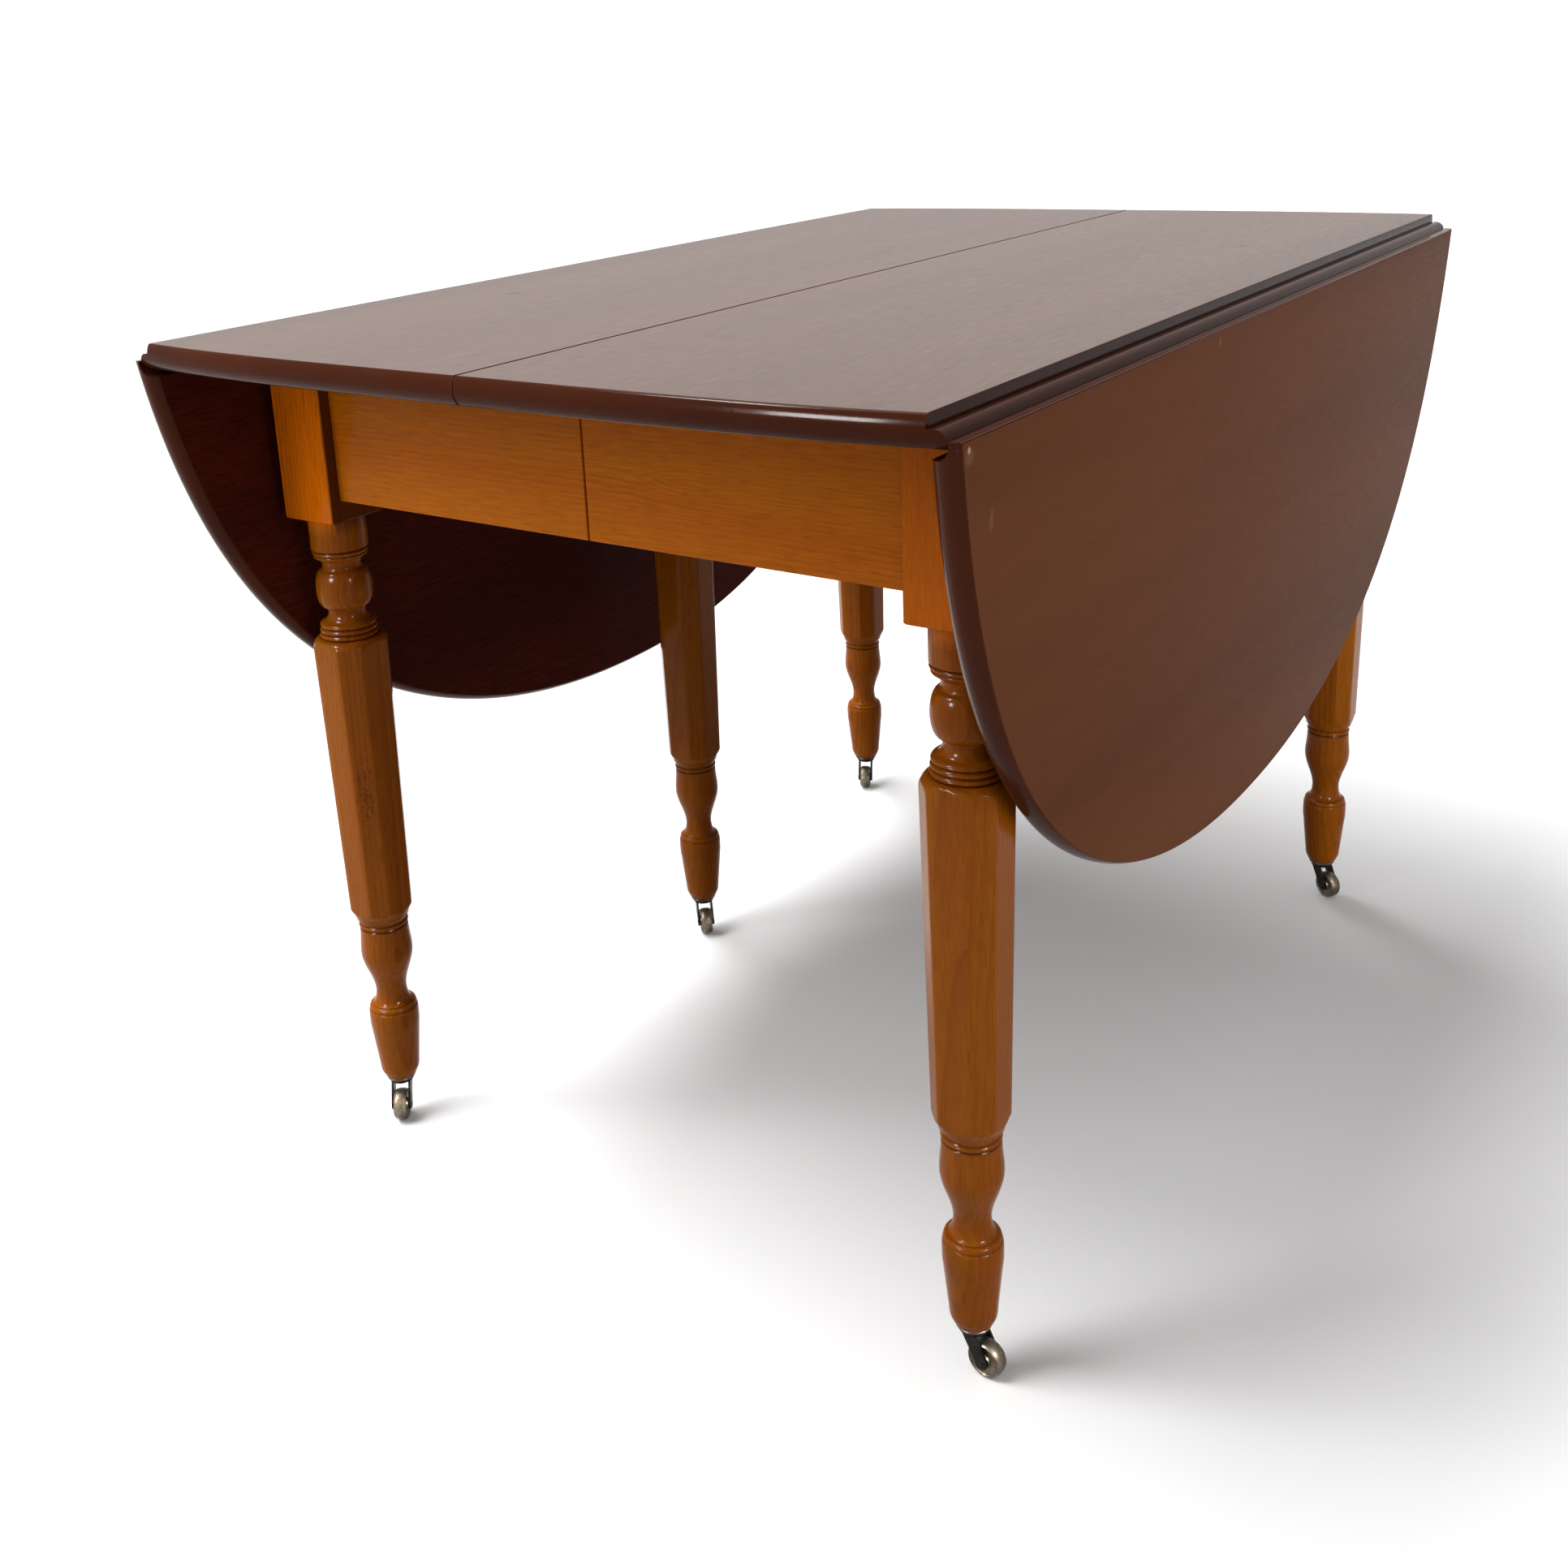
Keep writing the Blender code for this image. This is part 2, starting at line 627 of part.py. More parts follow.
def hinge_arm(direction, span):
    """Strip from a plate to under the axis, a little thinner than the plate."""
    ends = sorted((0.0, direction * (PLATE_START + PLATE_THICKNESS)))
    low = (ends[0], span[0] + KNUCKLE_INSET, -PLATE_FAR + KNUCKLE_INSET)
    high = (ends[1], span[1] - KNUCKLE_INSET, -PLATE_NEAR - KNUCKLE_INSET / 2)
    return box(low, high)


def fixed_hinge_mesh():
    """Hinge plate under the half top with its two knuckles and the pin, about the hinge axis."""
    half = HINGE_LENGTH / 2
    plate = box((-FIXED_PLATE_END, -half, -PLATE_FAR), (-PLATE_START, half, -PLATE_NEAR))
    outer_spans, _ = knuckle_spans()
    shapes = []
    for span in outer_spans:
        shapes.append(hinge_arm(-1, span))
        shapes.append(prism(circle(BARREL_RADIUS, BARREL_SIDES), "y", *span))
    reach = half - KNUCKLE_INSET
    shapes.append(prism(circle(HINGE_PIN_RADIUS, BARREL_SIDES), "y", -reach, reach))
    return carve(plate, shapes, "UNION")


def leaf_hinge_mesh():
    """Hinge plate under the open leaf with its knuckle, about the hinge axis."""
    half = HINGE_LENGTH / 2
    plate = box((PLATE_START, -half, -PLATE_FAR), (PLATE_START + LEAF_PLATE_WIDTH, half, -PLATE_NEAR))
    _, span = knuckle_spans()
    barrel = prism(circle(BARREL_RADIUS, BARREL_SIDES), "y", *span)
    joined = carve(plate, [hinge_arm(1, span), barrel], "UNION")
    bore = prism(circle(HINGE_PIN_RADIUS + FIT, BARREL_SIDES), "y", 2 * span[0], 2 * span[1])
    return carve(joined, [bore])


def foot_plate_mesh():
    """Caster's plate with the stem above it and the riveted pivot below, about the leg's axis."""
    profile = [
        (STEM_RADIUS, STEM_TOP),
        (STEM_RADIUS, FOOT_PLATE_TOP),
        (FOOT_PLATE_RADIUS, FOOT_PLATE_TOP),
        (FOOT_PLATE_RADIUS, FOOT_PLATE_BOTTOM),
        (PIVOT_RADIUS, FOOT_PLATE_BOTTOM),
        (PIVOT_RADIUS, RIVET_BOTTOM + RIVET_THICKNESS),
        (RIVET_RADIUS, RIVET_BOTTOM + RIVET_THICKNESS),
        (RIVET_RADIUS, RIVET_BOTTOM),
    ]
    return loft([round_ring(height, radius) for radius, height in profile])


def cheek_outline():
    """One cheek of the horn, from the crown back to the eye round the axle."""
    middle = (TRAIL, WHEEL_RADIUS)
    top = (CROWN_BOTTOM + CROWN_TOP) / 2
    half = CHEEK_TOP_WIDTH / 2
    eye = [(middle[0] + x, middle[1] + z) for x, z in arc(CHEEK_EYE, -math.pi, math.pi / 6, 5)]
    return [(half, top), (-half, top)] + eye


def horn_mesh():
    """Caster's horn about the leg's axis, trailing along +X, with its riveted axle."""
    bore = PIVOT_RADIUS + FIT
    crown = [
        round_ring(CROWN_TOP, bore), round_ring(CROWN_TOP, CROWN_RADIUS),
        round_ring(CROWN_BOTTOM, CROWN_RADIUS), round_ring(CROWN_BOTTOM, bore),
    ]
    inner = WHEEL_WIDTH / 2 + CHEEK_CLEARANCE
    outer = inner + CHEEK_THICKNESS
    shapes = [prism(cheek_outline(), "y", side * inner, side * outer) for side in (-1, 1)]
    axle = circle(AXLE_RADIUS, BARREL_SIDES, (TRAIL, WHEEL_RADIUS))
    reach = outer + CHEEK_CLEARANCE
    shapes.append(prism(axle, "y", -reach, reach))
    return carve(loft(crown, wrap=True), shapes, "UNION")


def wheel_mesh():
    """Wheel about its own axle, which lies along Y, standing on a flat of its tread."""
    half = WHEEL_WIDTH / 2
    bore = AXLE_RADIUS + FIT
    side = [(bore, half), (WHEEL_RADIUS - WHEEL_EDGE, half), (WHEEL_RADIUS, half - WHEEL_EDGE)]
    profile = side + [(radius, -y) for radius, y in reversed(side)]
    to_corner = 1 / math.cos(math.pi / WHEEL_SIDES)
    rings = []
    for radius, y in profile:
        plan = circle(radius * to_corner, WHEEL_SIDES)
        rings.append([Vector((x, y, z)) for x, z in plan])
    return loft(rings, wrap=True)


def build_tops(finishes, frames):
    """Half tops, leaves and their hinges."""
    half_top = half_top_mesh()
    leaf = leaf_mesh()
    fixed_hinge = fixed_hinge_mesh()
    leaf_hinge = leaf_hinge_mesh()
    hang = math.pi / 2 + LEAF_HANG
    for side, frame in frames.items():
        add_piece(f"{side}_top", half_top, finishes["mahogany"], frame)
        panel = add_piece(f"{side}_leaf", leaf, finishes["mahogany"], frame, (AXIS_X, 0, AXIS_Z), (0, hang, 0))
        stations = {"middle": 0.0}
        for end, sign in ENDS.items():
            stations[end] = sign * SIDES[side] * HINGE_SPACING
        for end, along in stations.items():
            place = (AXIS_X, along, AXIS_Z)
            add_piece(f"{side}_hinge_{end}_fixed_plate", fixed_hinge, finishes["iron"], frame, place)
            add_piece(f"{side}_hinge_{end}_leaf_plate", leaf_hinge, finishes["iron"], panel, (0, along, 0))


def build_frame(finishes, frames):
    """Corner legs, aprons, side rails, bars and keepers of both halves."""
    legs = {sign: corner_leg_mesh(sign) for sign in ENDS.values()}
    aprons = {sign: apron_mesh(sign) for sign in ENDS.values()}
    rail = side_rail_mesh()
    for side, frame in frames.items():
        add_piece(f"{side}_side_rail", rail, finishes["cherry"], frame)
        for end, sign in ENDS.items():
            local = sign * SIDES[side]
            add_piece(f"{end}_{side}_leg", legs[local], finishes["cherry"], frame, (LEG_X, local * LEG_Y, 0))
            add_piece(f"{end}_{side}_apron", aprons[local], finishes["cherry"], frame)
            middle = local * BAR_Y
            bar = box((BAR_INNER, -BAR_WIDTH / 2, BAR_BOTTOM), (BAR_OUTER, BAR_WIDTH / 2, BAR_TOP))
            add_piece(f"{end}_{side}_leaf_bar", bar, finishes["poplar"], frame, (0, middle, 0))
            add_piece(f"{end}_{side}_bar_keeper", keeper_mesh(middle), finishes["poplar"], frame)


def build_extension(finishes):
    """Runners, the middle leg on its cross rail, and the seam pins."""
    for end, sign in ENDS.items():
        add_piece(f"{end}_left_runner", tongue_runner_mesh(sign), finishes["poplar"])
        add_piece(f"{end}_right_runner", slot_runner_mesh(sign), finishes["poplar"])
    add_piece("cross_rail", cross_rail_mesh(), finishes["poplar"])
    middle_leg = leg_mesh(CROSS_RAIL_BOTTOM - FIT, CROSS_RAIL_TOP - FIT)
    add_piece("middle_leg", middle_leg, finishes["cherry"], location=(MIDDLE_LEG_X, 0, 0))
    half = SEAM_PIN_LENGTH / 2
    pin = prism(circle(SEAM_PIN_RADIUS, BARREL_SIDES), "x", -half, half)
    for end, sign in (("front", -1), ("middle", 0), ("back", 1)):
        place = (0, sign * SEAM_PIN_SPACING, TABLE_HEIGHT - TOP_THICKNESS / 2)
        add_piece(f"{end}_seam_pin", pin, finishes["poplar"], location=place)


def build_casters(finishes):
    """A caster under each leg: the plate, the horn that swivels in it and the wheel."""
    plate = foot_plate_mesh()
    horn = horn_mesh()
    wheel = wheel_mesh()
    places = {"middle": (MIDDLE_LEG_X, 0, 0)}
    for end, end_sign in ENDS.items():
        for side, side_sign in SIDES.items():
            places[f"{end}_{side}"] = (side_sign * LEG_X, end_sign * LEG_Y, 0)
    for name, place in places.items():
        socket = add_empty(f"{name}_caster", place)
        add_piece(f"{name}_caster_plate", plate, finishes["steel"], socket)
        swivel = add_piece(f"{name}_caster_horn", horn, finishes["iron"], socket, rotation=(0, 0, SWIVEL[name]))
        add_piece(f"{name}_caster_wheel", wheel, finishes["brass"], swivel, (TRAIL, 0, WHEEL_RADIUS))


def main():
    """Build the table."""
    clear_scene()
    finishes = {
        "mahogany": finish("polished_mahogany", "5a2a1c", 0.22),
        "cherry": finish("varnished_cherry", "9a5620", 0.28),
        "poplar": finish("bare_poplar", "8a6a44", 0.7),
        "iron": finish("blackened_iron", "2b2725", 0.45, 1.0),
        "steel": finish("plated_steel", "c9c2b8", 0.3, 1.0),
        "brass": finish("worn_brass", "7d735f", 0.4, 1.0),
    }
    frames = {
        "left": add_empty("left_half", turn=math.pi),
        "right": add_empty("right_half"),
    }
    build_tops(finishes, frames)
    build_frame(finishes, frames)
    build_extension(finishes)
    build_casters(finishes)
    bpy.context.view_layer.update()


main()
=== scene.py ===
"""Looks of a drop-leaf extension dining table: boards, turned legs, frame, hinges, casters and a stage.

Metres, +Z up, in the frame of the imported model. Pieces that both halves have are drawn once in a side
frame, whose X points away from the seam, and the left half is the right one turned half round.
"""

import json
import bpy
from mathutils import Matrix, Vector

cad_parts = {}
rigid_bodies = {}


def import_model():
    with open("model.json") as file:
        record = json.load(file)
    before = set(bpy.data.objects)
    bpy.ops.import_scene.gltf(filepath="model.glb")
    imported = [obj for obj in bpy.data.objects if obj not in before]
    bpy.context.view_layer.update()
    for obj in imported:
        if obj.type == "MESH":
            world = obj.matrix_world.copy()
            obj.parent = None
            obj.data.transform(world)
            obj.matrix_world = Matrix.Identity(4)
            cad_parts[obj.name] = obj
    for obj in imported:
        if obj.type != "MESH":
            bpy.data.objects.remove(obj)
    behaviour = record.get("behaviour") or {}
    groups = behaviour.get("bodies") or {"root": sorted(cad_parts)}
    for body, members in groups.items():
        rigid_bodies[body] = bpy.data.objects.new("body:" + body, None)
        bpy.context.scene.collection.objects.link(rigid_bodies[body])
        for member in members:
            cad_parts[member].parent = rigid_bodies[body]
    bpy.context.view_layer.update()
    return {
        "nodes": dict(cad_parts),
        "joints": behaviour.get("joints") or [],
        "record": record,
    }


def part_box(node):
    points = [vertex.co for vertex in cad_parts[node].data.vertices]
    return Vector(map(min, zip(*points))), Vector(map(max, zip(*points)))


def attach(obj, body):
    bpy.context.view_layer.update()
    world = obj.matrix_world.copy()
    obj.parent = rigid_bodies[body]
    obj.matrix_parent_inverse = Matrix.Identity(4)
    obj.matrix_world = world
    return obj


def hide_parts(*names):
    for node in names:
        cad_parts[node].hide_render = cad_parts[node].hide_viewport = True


bl_info = {
    "name": "Drop-leaf dining table",
    "version": (1, 0, 0),
    "blender": (4, 5, 0),
    "location": "3D View > Sidebar > Table",
    "description": "Boards with rule joints, turned legs, frame, hinges and casters of a table",
    "category": "Object",
}

from math import acos, asin, atan2, cos, pi, radians, sin, sqrt

import bmesh
import bpy
from bpy.props import FloatProperty, FloatVectorProperty, PointerProperty
from mathutils import Matrix, Vector

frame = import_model()

# Places read from the frame
JOINTS = {joint["name"]: joint for joint in frame["joints"]}
TOP_LOW, TOP_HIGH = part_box("right_top")
AXIS = Vector(JOINTS["right_leaf_hinge"]["pos_m"])
LEAF_HANG = radians(JOINTS["right_leaf_hinge"]["range_deg"][1])
OVOLO_RADIUS = TOP_HIGH.x - AXIS.x
THICKNESS = TOP_HIGH.z - TOP_LOW.z
AXIS_DROP = TOP_HIGH.z - AXIS.z
AXIS_RISE = AXIS.z - TOP_LOW.z
LEAF_REST = Matrix.Translation(AXIS) @ Matrix.Rotation(LEAF_HANG, 4, "Y")
FOOT_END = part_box("middle_leg")[0].z
BLOCK_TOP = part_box("front_left_leg")[1].z
SWIVEL_TOP = JOINTS["middle_swivel"]["pos_m"][2]
WHEEL_RADIUS = JOINTS["middle_roll"]["pos_m"][2]

# Gap between pieces that are fitted together
FIT = 0.0003

SIDES = {"left": Matrix.Rotation(pi, 4, "Z"), "right": Matrix.Identity(4)}
LEG_BODIES = {
    "front_left": "left_half",
    "back_left": "left_half",
    "front_right": "right_half",
    "back_right": "right_half",
    "middle": "right_half",
}


def linear(colour):
    """Linear colour of an sRGB hex value, with full cover."""
    channels = []
    for place in (0, 2, 4):
        value = int(colour[place:place + 2], 16) / 255
        channels.append(value / 12.92 if value <= 0.04045 else ((value + 0.055) / 1.055) ** 2.4)
    return (*channels, 1.0)


def length(description, default):
    """Property for a size in metres."""
    return FloatProperty(description=description, default=default, unit="LENGTH", precision=4)


def tint(description, colour):
    """Property for a colour, given as sRGB hex."""
    return FloatVectorProperty(
        description=description, default=linear(colour), subtype="COLOR", size=4, min=0.0, max=1.0)


class TableSizes(bpy.types.PropertyGroup):
    """Sizes that shape the table's visible pieces."""

    open_width: length("Width over both raised leaves", 1.522)
    hinge_line: length("From the seam to the edge of a half's upper face", 0.341)
    edge_widest: length("Depth at which the moulded edge stands out furthest", 0.0100)
    edge_above: length("How far the upper face stops inside the edge", 0.0028)
    edge_below: length("How far the lower face stops inside the edge", 0.0050)
    rule_gap: length("Gap in the rule joint", 0.0006)
    arris: length("Radius of the softened arrises of the boards", 0.0009)
    seam_arris: length("Radius of the softened arrises at the seam", 0.0014)
    block: length("Width of the square block of a leg", 0.058)
    block_drop: length("How far a leg's block reaches below the aprons", 0.0185)
    octagon_top: length("Width over corners at the octagon's head", 0.064)
    octagon_foot: length("Width over corners at the octagon's foot", 0.056)
    frame_arris: length("Softened arris of aprons, rails and runners", 0.0009)


class TableColours(bpy.types.PropertyGroup):
    """Colours of the table's finishes."""

    top_dark: tint("Late wood of the half tops", "2c1810")
    top_light: tint("Early wood of the half tops", "5a3a28")
    leaf_dark: tint("Late wood of the leaves", "30180d")
    leaf_light: tint("Early wood of the leaves", "5e3722")
    edge_dark: tint("Late wood of the moulded edges", "200c05")
    edge_light: tint("Early wood of the moulded edges", "441e0e")
    stain_dark: tint("Late wood of the boards' undersides", "1c0603")
    stain_light: tint("Early wood of the boards' undersides", "4c180c")
    bruise_pale: tint("Chips in the boards' polish", "a08274")
    scuff: tint("Scuffs in the boards' polish", "664330")
    bruise_dark: tint("Dents in the boards' polish", "140a06")
    # Also laid over whole legs as painted shade, where they stand in shade
    cherry_dark: tint("Late wood of the frame", "5c2a04")
    cherry_light: tint("Early wood of the frame", "ae680c")
    cherry_red: tint("Redder streaks of the frame", "98450b")
    cherry_amber: tint("Blocks and aprons, under thicker varnish", "d86c05")
    cherry_fleck: tint("Gum flecks in the legs", "5a2406")
    # Painted shade, drawn in the hollows of the turning and on the blocks' sides beside the aprons
    cherry_painted_shade: tint("Dark varnish in the cut lines of the turning", "3c1806")
    poplar_dark: tint("Late wood of the hidden parts", "6b4f2e")
    poplar_light: tint("Early wood of the hidden parts", "94734a")
    iron: tint("Blackened iron", "2b2725")
    steel: tint("Dulled steel", "6e675e")
    brass: tint("Worn metal of the wheels", "70675b")
    floor: tint("Studio floor where it is seen", "f8f8f8")
    floor_bounce: tint("Studio floor as it lights the table", "b4b0ac")


def add_node(tree, kind, inputs=None, **settings):
    """Shader node of a kind with its settings, and its inputs set or linked by their identifiers."""
    made = tree.nodes.new(f"ShaderNode{kind}")
    for name, value in settings.items():
        setattr(made, name, value)
    for name, value in (inputs or {}).items():
        socket = next(slot for slot in made.inputs if slot.identifier == name)
        if isinstance(value, bpy.types.NodeSocket):
            tree.links.new(value, socket)
        else:
            socket.default_value = value
    return {slot.identifier: slot for slot in made.outputs}


def new_material(name):
    """Empty material and its shader tree."""
    material = bpy.data.materials.new(name)
    material.use_nodes = True
    material.node_tree.nodes.clear()
    return material, material.node_tree


def close_material(material, inputs):
    """Material finished by a principled shader with its inputs."""
    tree = material.node_tree
    shader = add_node(tree, "BsdfPrincipled", inputs)
    add_node(tree, "OutputMaterial", {"Surface": shader["BSDF"]})
    return material


# Turn that brings the grain of a piece onto the pattern's Y, for each way the grain can run
GRAIN_TURN = {
    "x": (0.0, 0.0, pi / 2),
    "y": (0.0, 0.0, 0.0),
    "z": (-pi / 2, 0.0, 0.0),
}

# Width of one band of the wave pattern at a scale of one
WAVE_PERIOD = pi / 10
FIBRE_WIDTH = 0.0016
PORE_WIDTH = 0.0010

# Years of growth in one broad tone, and the power that narrows the late wood of a year
TONE_YEARS = 12
LATE_WOOD = 2.2

# How much of the way along the grain counts for fibres and for rings, which draws both out
FIBRE_DRAW = 0.06
RING_DRAW = 0.04


def grain(tree, along, pith, tilt, ring, waver, eye=None):
    """Growth rings, fibres, pores and broad tone of a board, each from 0 to 1.

    The pith lies beside the board along the grain, leaning by a tilt. Ring is the width of one year's
    growth. An eye is where nested arches start and end along the grain, how much the rings grow there and
    how far across the grain that is felt.
    """
    turn = [base + lean for base, lean in zip(GRAIN_TURN[along], tilt)]
    place = add_node(tree, "TexCoord")["Object"]
    turned = add_node(tree, "Mapping", {
        "Vector": place, "Rotation": turn, "Location": [-value for value in pith]})["Vector"]
    drawn = add_node(tree, "VectorMath", {
        "Vector": turned, "Vector_001": (1.0, FIBRE_DRAW, 1.0)}, operation="MULTIPLY")["Vector"]
    flatness = 0.1 if eye else 1.0
    across = add_node(tree, "VectorMath", {
        "Vector": turned, "Vector_001": (flatness, 0.0, 1.0)}, operation="MULTIPLY")["Vector"]
    radius = add_node(tree, "VectorMath", {"Vector": across}, operation="LENGTH")["Value"]
    parts = add_node(tree, "SeparateXYZ", {"Vector": turned})
    if eye:
        start, end, growth, felt = eye
        passed = add_node(tree, "MapRange", {
            "Value": parts["Y"], "From Min": start, "From Max": end,
        }, interpolation_type="SMOOTHSTEP")["Result"]
        nearby = add_node(tree, "MapRange", {
            "Value": radius, "From Max": felt, "To Min": 1.0, "To Max": 0.0})["Result"]
        arched = add_node(tree, "Math", {
            "Value": passed, "Value_001": nearby}, operation="MULTIPLY")["Value"]
        radius = add_node(tree, "Math", {
            "Value": arched, "Value_001": -growth, "Value_002": radius}, operation="MULTIPLY_ADD")["Value"]
    along_rings = add_node(tree, "Math", {
        "Value": parts["Y"], "Value_001": RING_DRAW}, operation="MULTIPLY")["Value"]
    swirled = add_node(tree, "CombineXYZ", {
        "X": radius, "Y": along_rings, "Z": parts["X"]})["Vector"]
    waver_width = 3 * WAVE_PERIOD
    years = add_node(tree, "TexWave", {
        "Vector": swirled, "Scale": WAVE_PERIOD / ring, "Distortion": waver, "Detail": 2.0,
        "Detail Scale": 1 / waver_width}, wave_type="BANDS", bands_direction="X", wave_profile="SAW")
    late = add_node(tree, "Math", {
        "Value": years["Fac"], "Value_001": LATE_WOOD}, operation="POWER")["Value"]
    noise = {}
    for name, width, detail, rough in (
            ("fibres", FIBRE_WIDTH, 3.0, 0.6), ("pores", PORE_WIDTH, 0.0, 0.5),
            ("broad", TONE_YEARS * ring, 2.0, 0.5)):
        noise[name] = add_node(tree, "TexNoise", {
            "Vector": drawn, "Scale": 1 / width, "Detail": detail, "Roughness": rough})["Fac"]
    shown = {}
    for name, source, low, high in (
            ("strands", "fibres", 0.3, 0.7), ("dashes", "pores", 0.60, 0.74),
            ("tone", "broad", 0.3, 0.7), ("fade", "broad", 0.35, 0.65)):
        shown[name] = add_node(tree, "MapRange", {
            "Value": noise[source], "From Min": low, "From Max": high})["Result"]
    fade = shown["fade"]
    if eye:
        fade = add_node(tree, "Math", {
            "Value": fade, "Value_001": nearby}, operation="MAXIMUM")["Value"]
    rings = add_node(tree, "Math", {"Value": late, "Value_001": fade}, operation="MULTIPLY")["Value"]
    return rings, shown["strands"], shown["dashes"], shown["tone"]


def spot(tree, centre, reach):
    """Round or drawn-out spot about a centre: one in the middle, falling to none at its reach."""
    place = add_node(tree, "TexCoord")["Object"]
    within = add_node(tree, "Mapping", {
        "Vector": place, "Location": centre, "Scale": reach}, vector_type="TEXTURE")["Vector"]
    return add_node(tree, "TexGradient", {"Vector": within}, gradient_type="SPHERICAL")["Fac"]


def lay_over(tree, base, colour, pattern, share=1.0):
    """Colour laid over a base where a pattern shows, up to a share of it."""
    cover = add_node(tree, "Math", {
        "Value": pattern, "Value_001": share}, operation="MULTIPLY")["Value"]
    return add_node(tree, "Mix", {
        "Factor_Float": cover, "A_Color": base, "B_Color": colour}, data_type="RGBA")["Result_Color"]


def figured(tree, base, dark, layers):
    """Base with the wood's dark laid over it, layer by layer: each is a pattern and its share."""
    for pattern, share in layers:
        base = lay_over(tree, base, dark, pattern, share)
    return base


# Grain of the boards: its run, pith, lean, width of a ring and waver
MAHOGANY_GRAIN = ("y", (0.12, 0.0, 0.66), (0.0, 0.0, 0.03), 0.009, 5.0)


def polished_mahogany(colours, name, figure, smooth, gloss, marks):
    """Mahogany, planed and French polished: deep brown with fine dark pores under a satin shine.

    The tops shine most, the moulded edges are smoothest and the leaves are dullest, so each has its own
    colours, strength of figure, roughness of the finish and gloss. Marks are bruises in the polish.
    """
    material, tree = new_material(f"polished_mahogany_{name}")
    unevenness = 0.04
    rings, fibres, dashes, tone = grain(tree, *MAHOGANY_GRAIN)
    light, dark = getattr(colours, f"{name}_light"), getattr(colours, f"{name}_dark")
    layers = ((rings, figure), (fibres, figure), (tone, 0.35), (dashes, 0.8 * figure))
    base = figured(tree, light, dark, layers)
    for centre, reach, colour in marks:
        bruise = add_node(tree, "MapRange", {
            "Value": spot(tree, centre, reach), "From Max": 0.6})["Result"]
        base = lay_over(tree, base, colour, bruise)
    rough = add_node(tree, "MapRange", {
        "Value": fibres, "To Min": smooth - unevenness, "To Max": smooth + unevenness})["Result"]
    dent = add_node(tree, "Bump", {
        "Height": dashes, "Strength": 0.03, "Distance": 0.0002}, invert=True)
    return close_material(material, {
        "Base Color": base, "Roughness": rough, "Normal": dent["Normal"], "Specular IOR Level": gloss})


def stained_mahogany(colours):
    """Mahogany underside, planed and stained but not polished: dark, dull and a little red."""
    material, tree = new_material("stained_mahogany")
    _, fibres, dashes, tone = grain(tree, *MAHOGANY_GRAIN)
    layers = ((fibres, 0.6), (tone, 0.5), (dashes, 0.5))
    base = figured(tree, colours.stain_light, colours.stain_dark, layers)
    return close_material(material, {"Base Color": base, "Roughness": 0.6, "Specular IOR Level": 0.03})


def gum_flecks(tree, base, colour):
    """Cluster of dark gum flecks low on the corner face of a leg's octagon."""
    fleck_width = 0.0036
    place = add_node(tree, "TexCoord")["Object"]
    grains = add_node(tree, "TexNoise", {
        "Vector": place, "Scale": 1 / fleck_width, "Detail": 1.0})["Fac"]
    cluster = spot(tree, (0.0195, -0.0195, 0.33), (0.020, 0.020, 0.100))
    ample = add_node(tree, "Math", {
        "Value": grains, "Value_001": cluster}, operation="MULTIPLY")["Value"]
    flecks = add_node(tree, "MapRange", {
        "Value": ample, "From Min": 0.34, "From Max": 0.50})["Result"]
    return lay_over(tree, base, colour, flecks, 0.5)


def varnished_cherry(colours, name, along, pith, tilt, figure, amber=0.0, leg_shade=0.0, eye=None):
    """Cherry, planed or turned and varnished: amber with brown growth lines under a clear gloss.

    Amber is the share of the thicker varnish on the whole piece, on top of what its relief gives, and the
    last share lays the late wood's colour over the whole piece as painted shade, for legs where less light
    falls.
    """
    material, tree = new_material(f"varnished_cherry_{name}")
    rings, fibres, dashes, tone = grain(tree, along, pith, tilt, ring=0.0046, waver=4.0, eye=eye)
    relief_and_painted_shade = add_node(tree, "Attribute", attribute_name="relief_and_painted_shade")["Fac"]
    base = lay_over(tree, colours.cherry_light, colours.cherry_red, tone, 0.70)
    thick = add_node(tree, "Math", {
        "Value": relief_and_painted_shade, "Value_001": amber}, operation="ADD", use_clamp=True)["Value"]
    base = lay_over(tree, base, colours.cherry_amber, thick)
    # Painted shade first: the late wood's colour over the whole piece, by the leg's shade share
    everywhere = 1.0
    layers = ((everywhere, leg_shade), (rings, figure), (fibres, 0.30), (dashes, 0.25))
    base = figured(tree, base, colours.cherry_dark, layers)
    # Painted shade where the relief is below zero: in the hollows of the turning and on the blocks' sides
    # beside the aprons
    painted_hollow_shade = add_node(tree, "MapRange", {
        "Value": relief_and_painted_shade, "From Min": -0.15, "From Max": -1.0})["Result"]
    base = lay_over(tree, base, colours.cherry_painted_shade, painted_hollow_shade, 0.8)
    rough = add_node(tree, "MapRange", {
        "Value": fibres, "To Min": 0.13, "To Max": 0.21})["Result"]
    if along == "z":
        base = gum_flecks(tree, base, colours.cherry_fleck)
    swell = add_node(tree, "Bump", {
        "Height": fibres, "Strength": 0.03, "Distance": 0.0003})
    return close_material(material, {
        "Base Color": base, "Roughness": rough, "Normal": swell["Normal"], "Specular IOR Level": 0.045})


def bare_poplar(colours, along):
    """Poplar, sawn and planed but left bare: dull tan, with a raised fibre that catches no shine."""
    material, tree = new_material(f"bare_poplar_{along}")
    pith, lean = (0.02, 0.0, 0.62), (0.02, 0.0, 0.0)
    rings, fibres, _, tone = grain(tree, along, pith, lean, ring=0.005, waver=4.0)
    layers = ((rings, 0.5), (fibres, 0.5), (tone, 0.4))
    base = figured(tree, colours.poplar_light, colours.poplar_dark, layers)
    swell = add_node(tree, "Bump", {"Height": fibres, "Strength": 0.15, "Distance": 0.0005})
    return close_material(material, {"Base Color": base, "Roughness": 0.75, "Normal": swell["Normal"]})


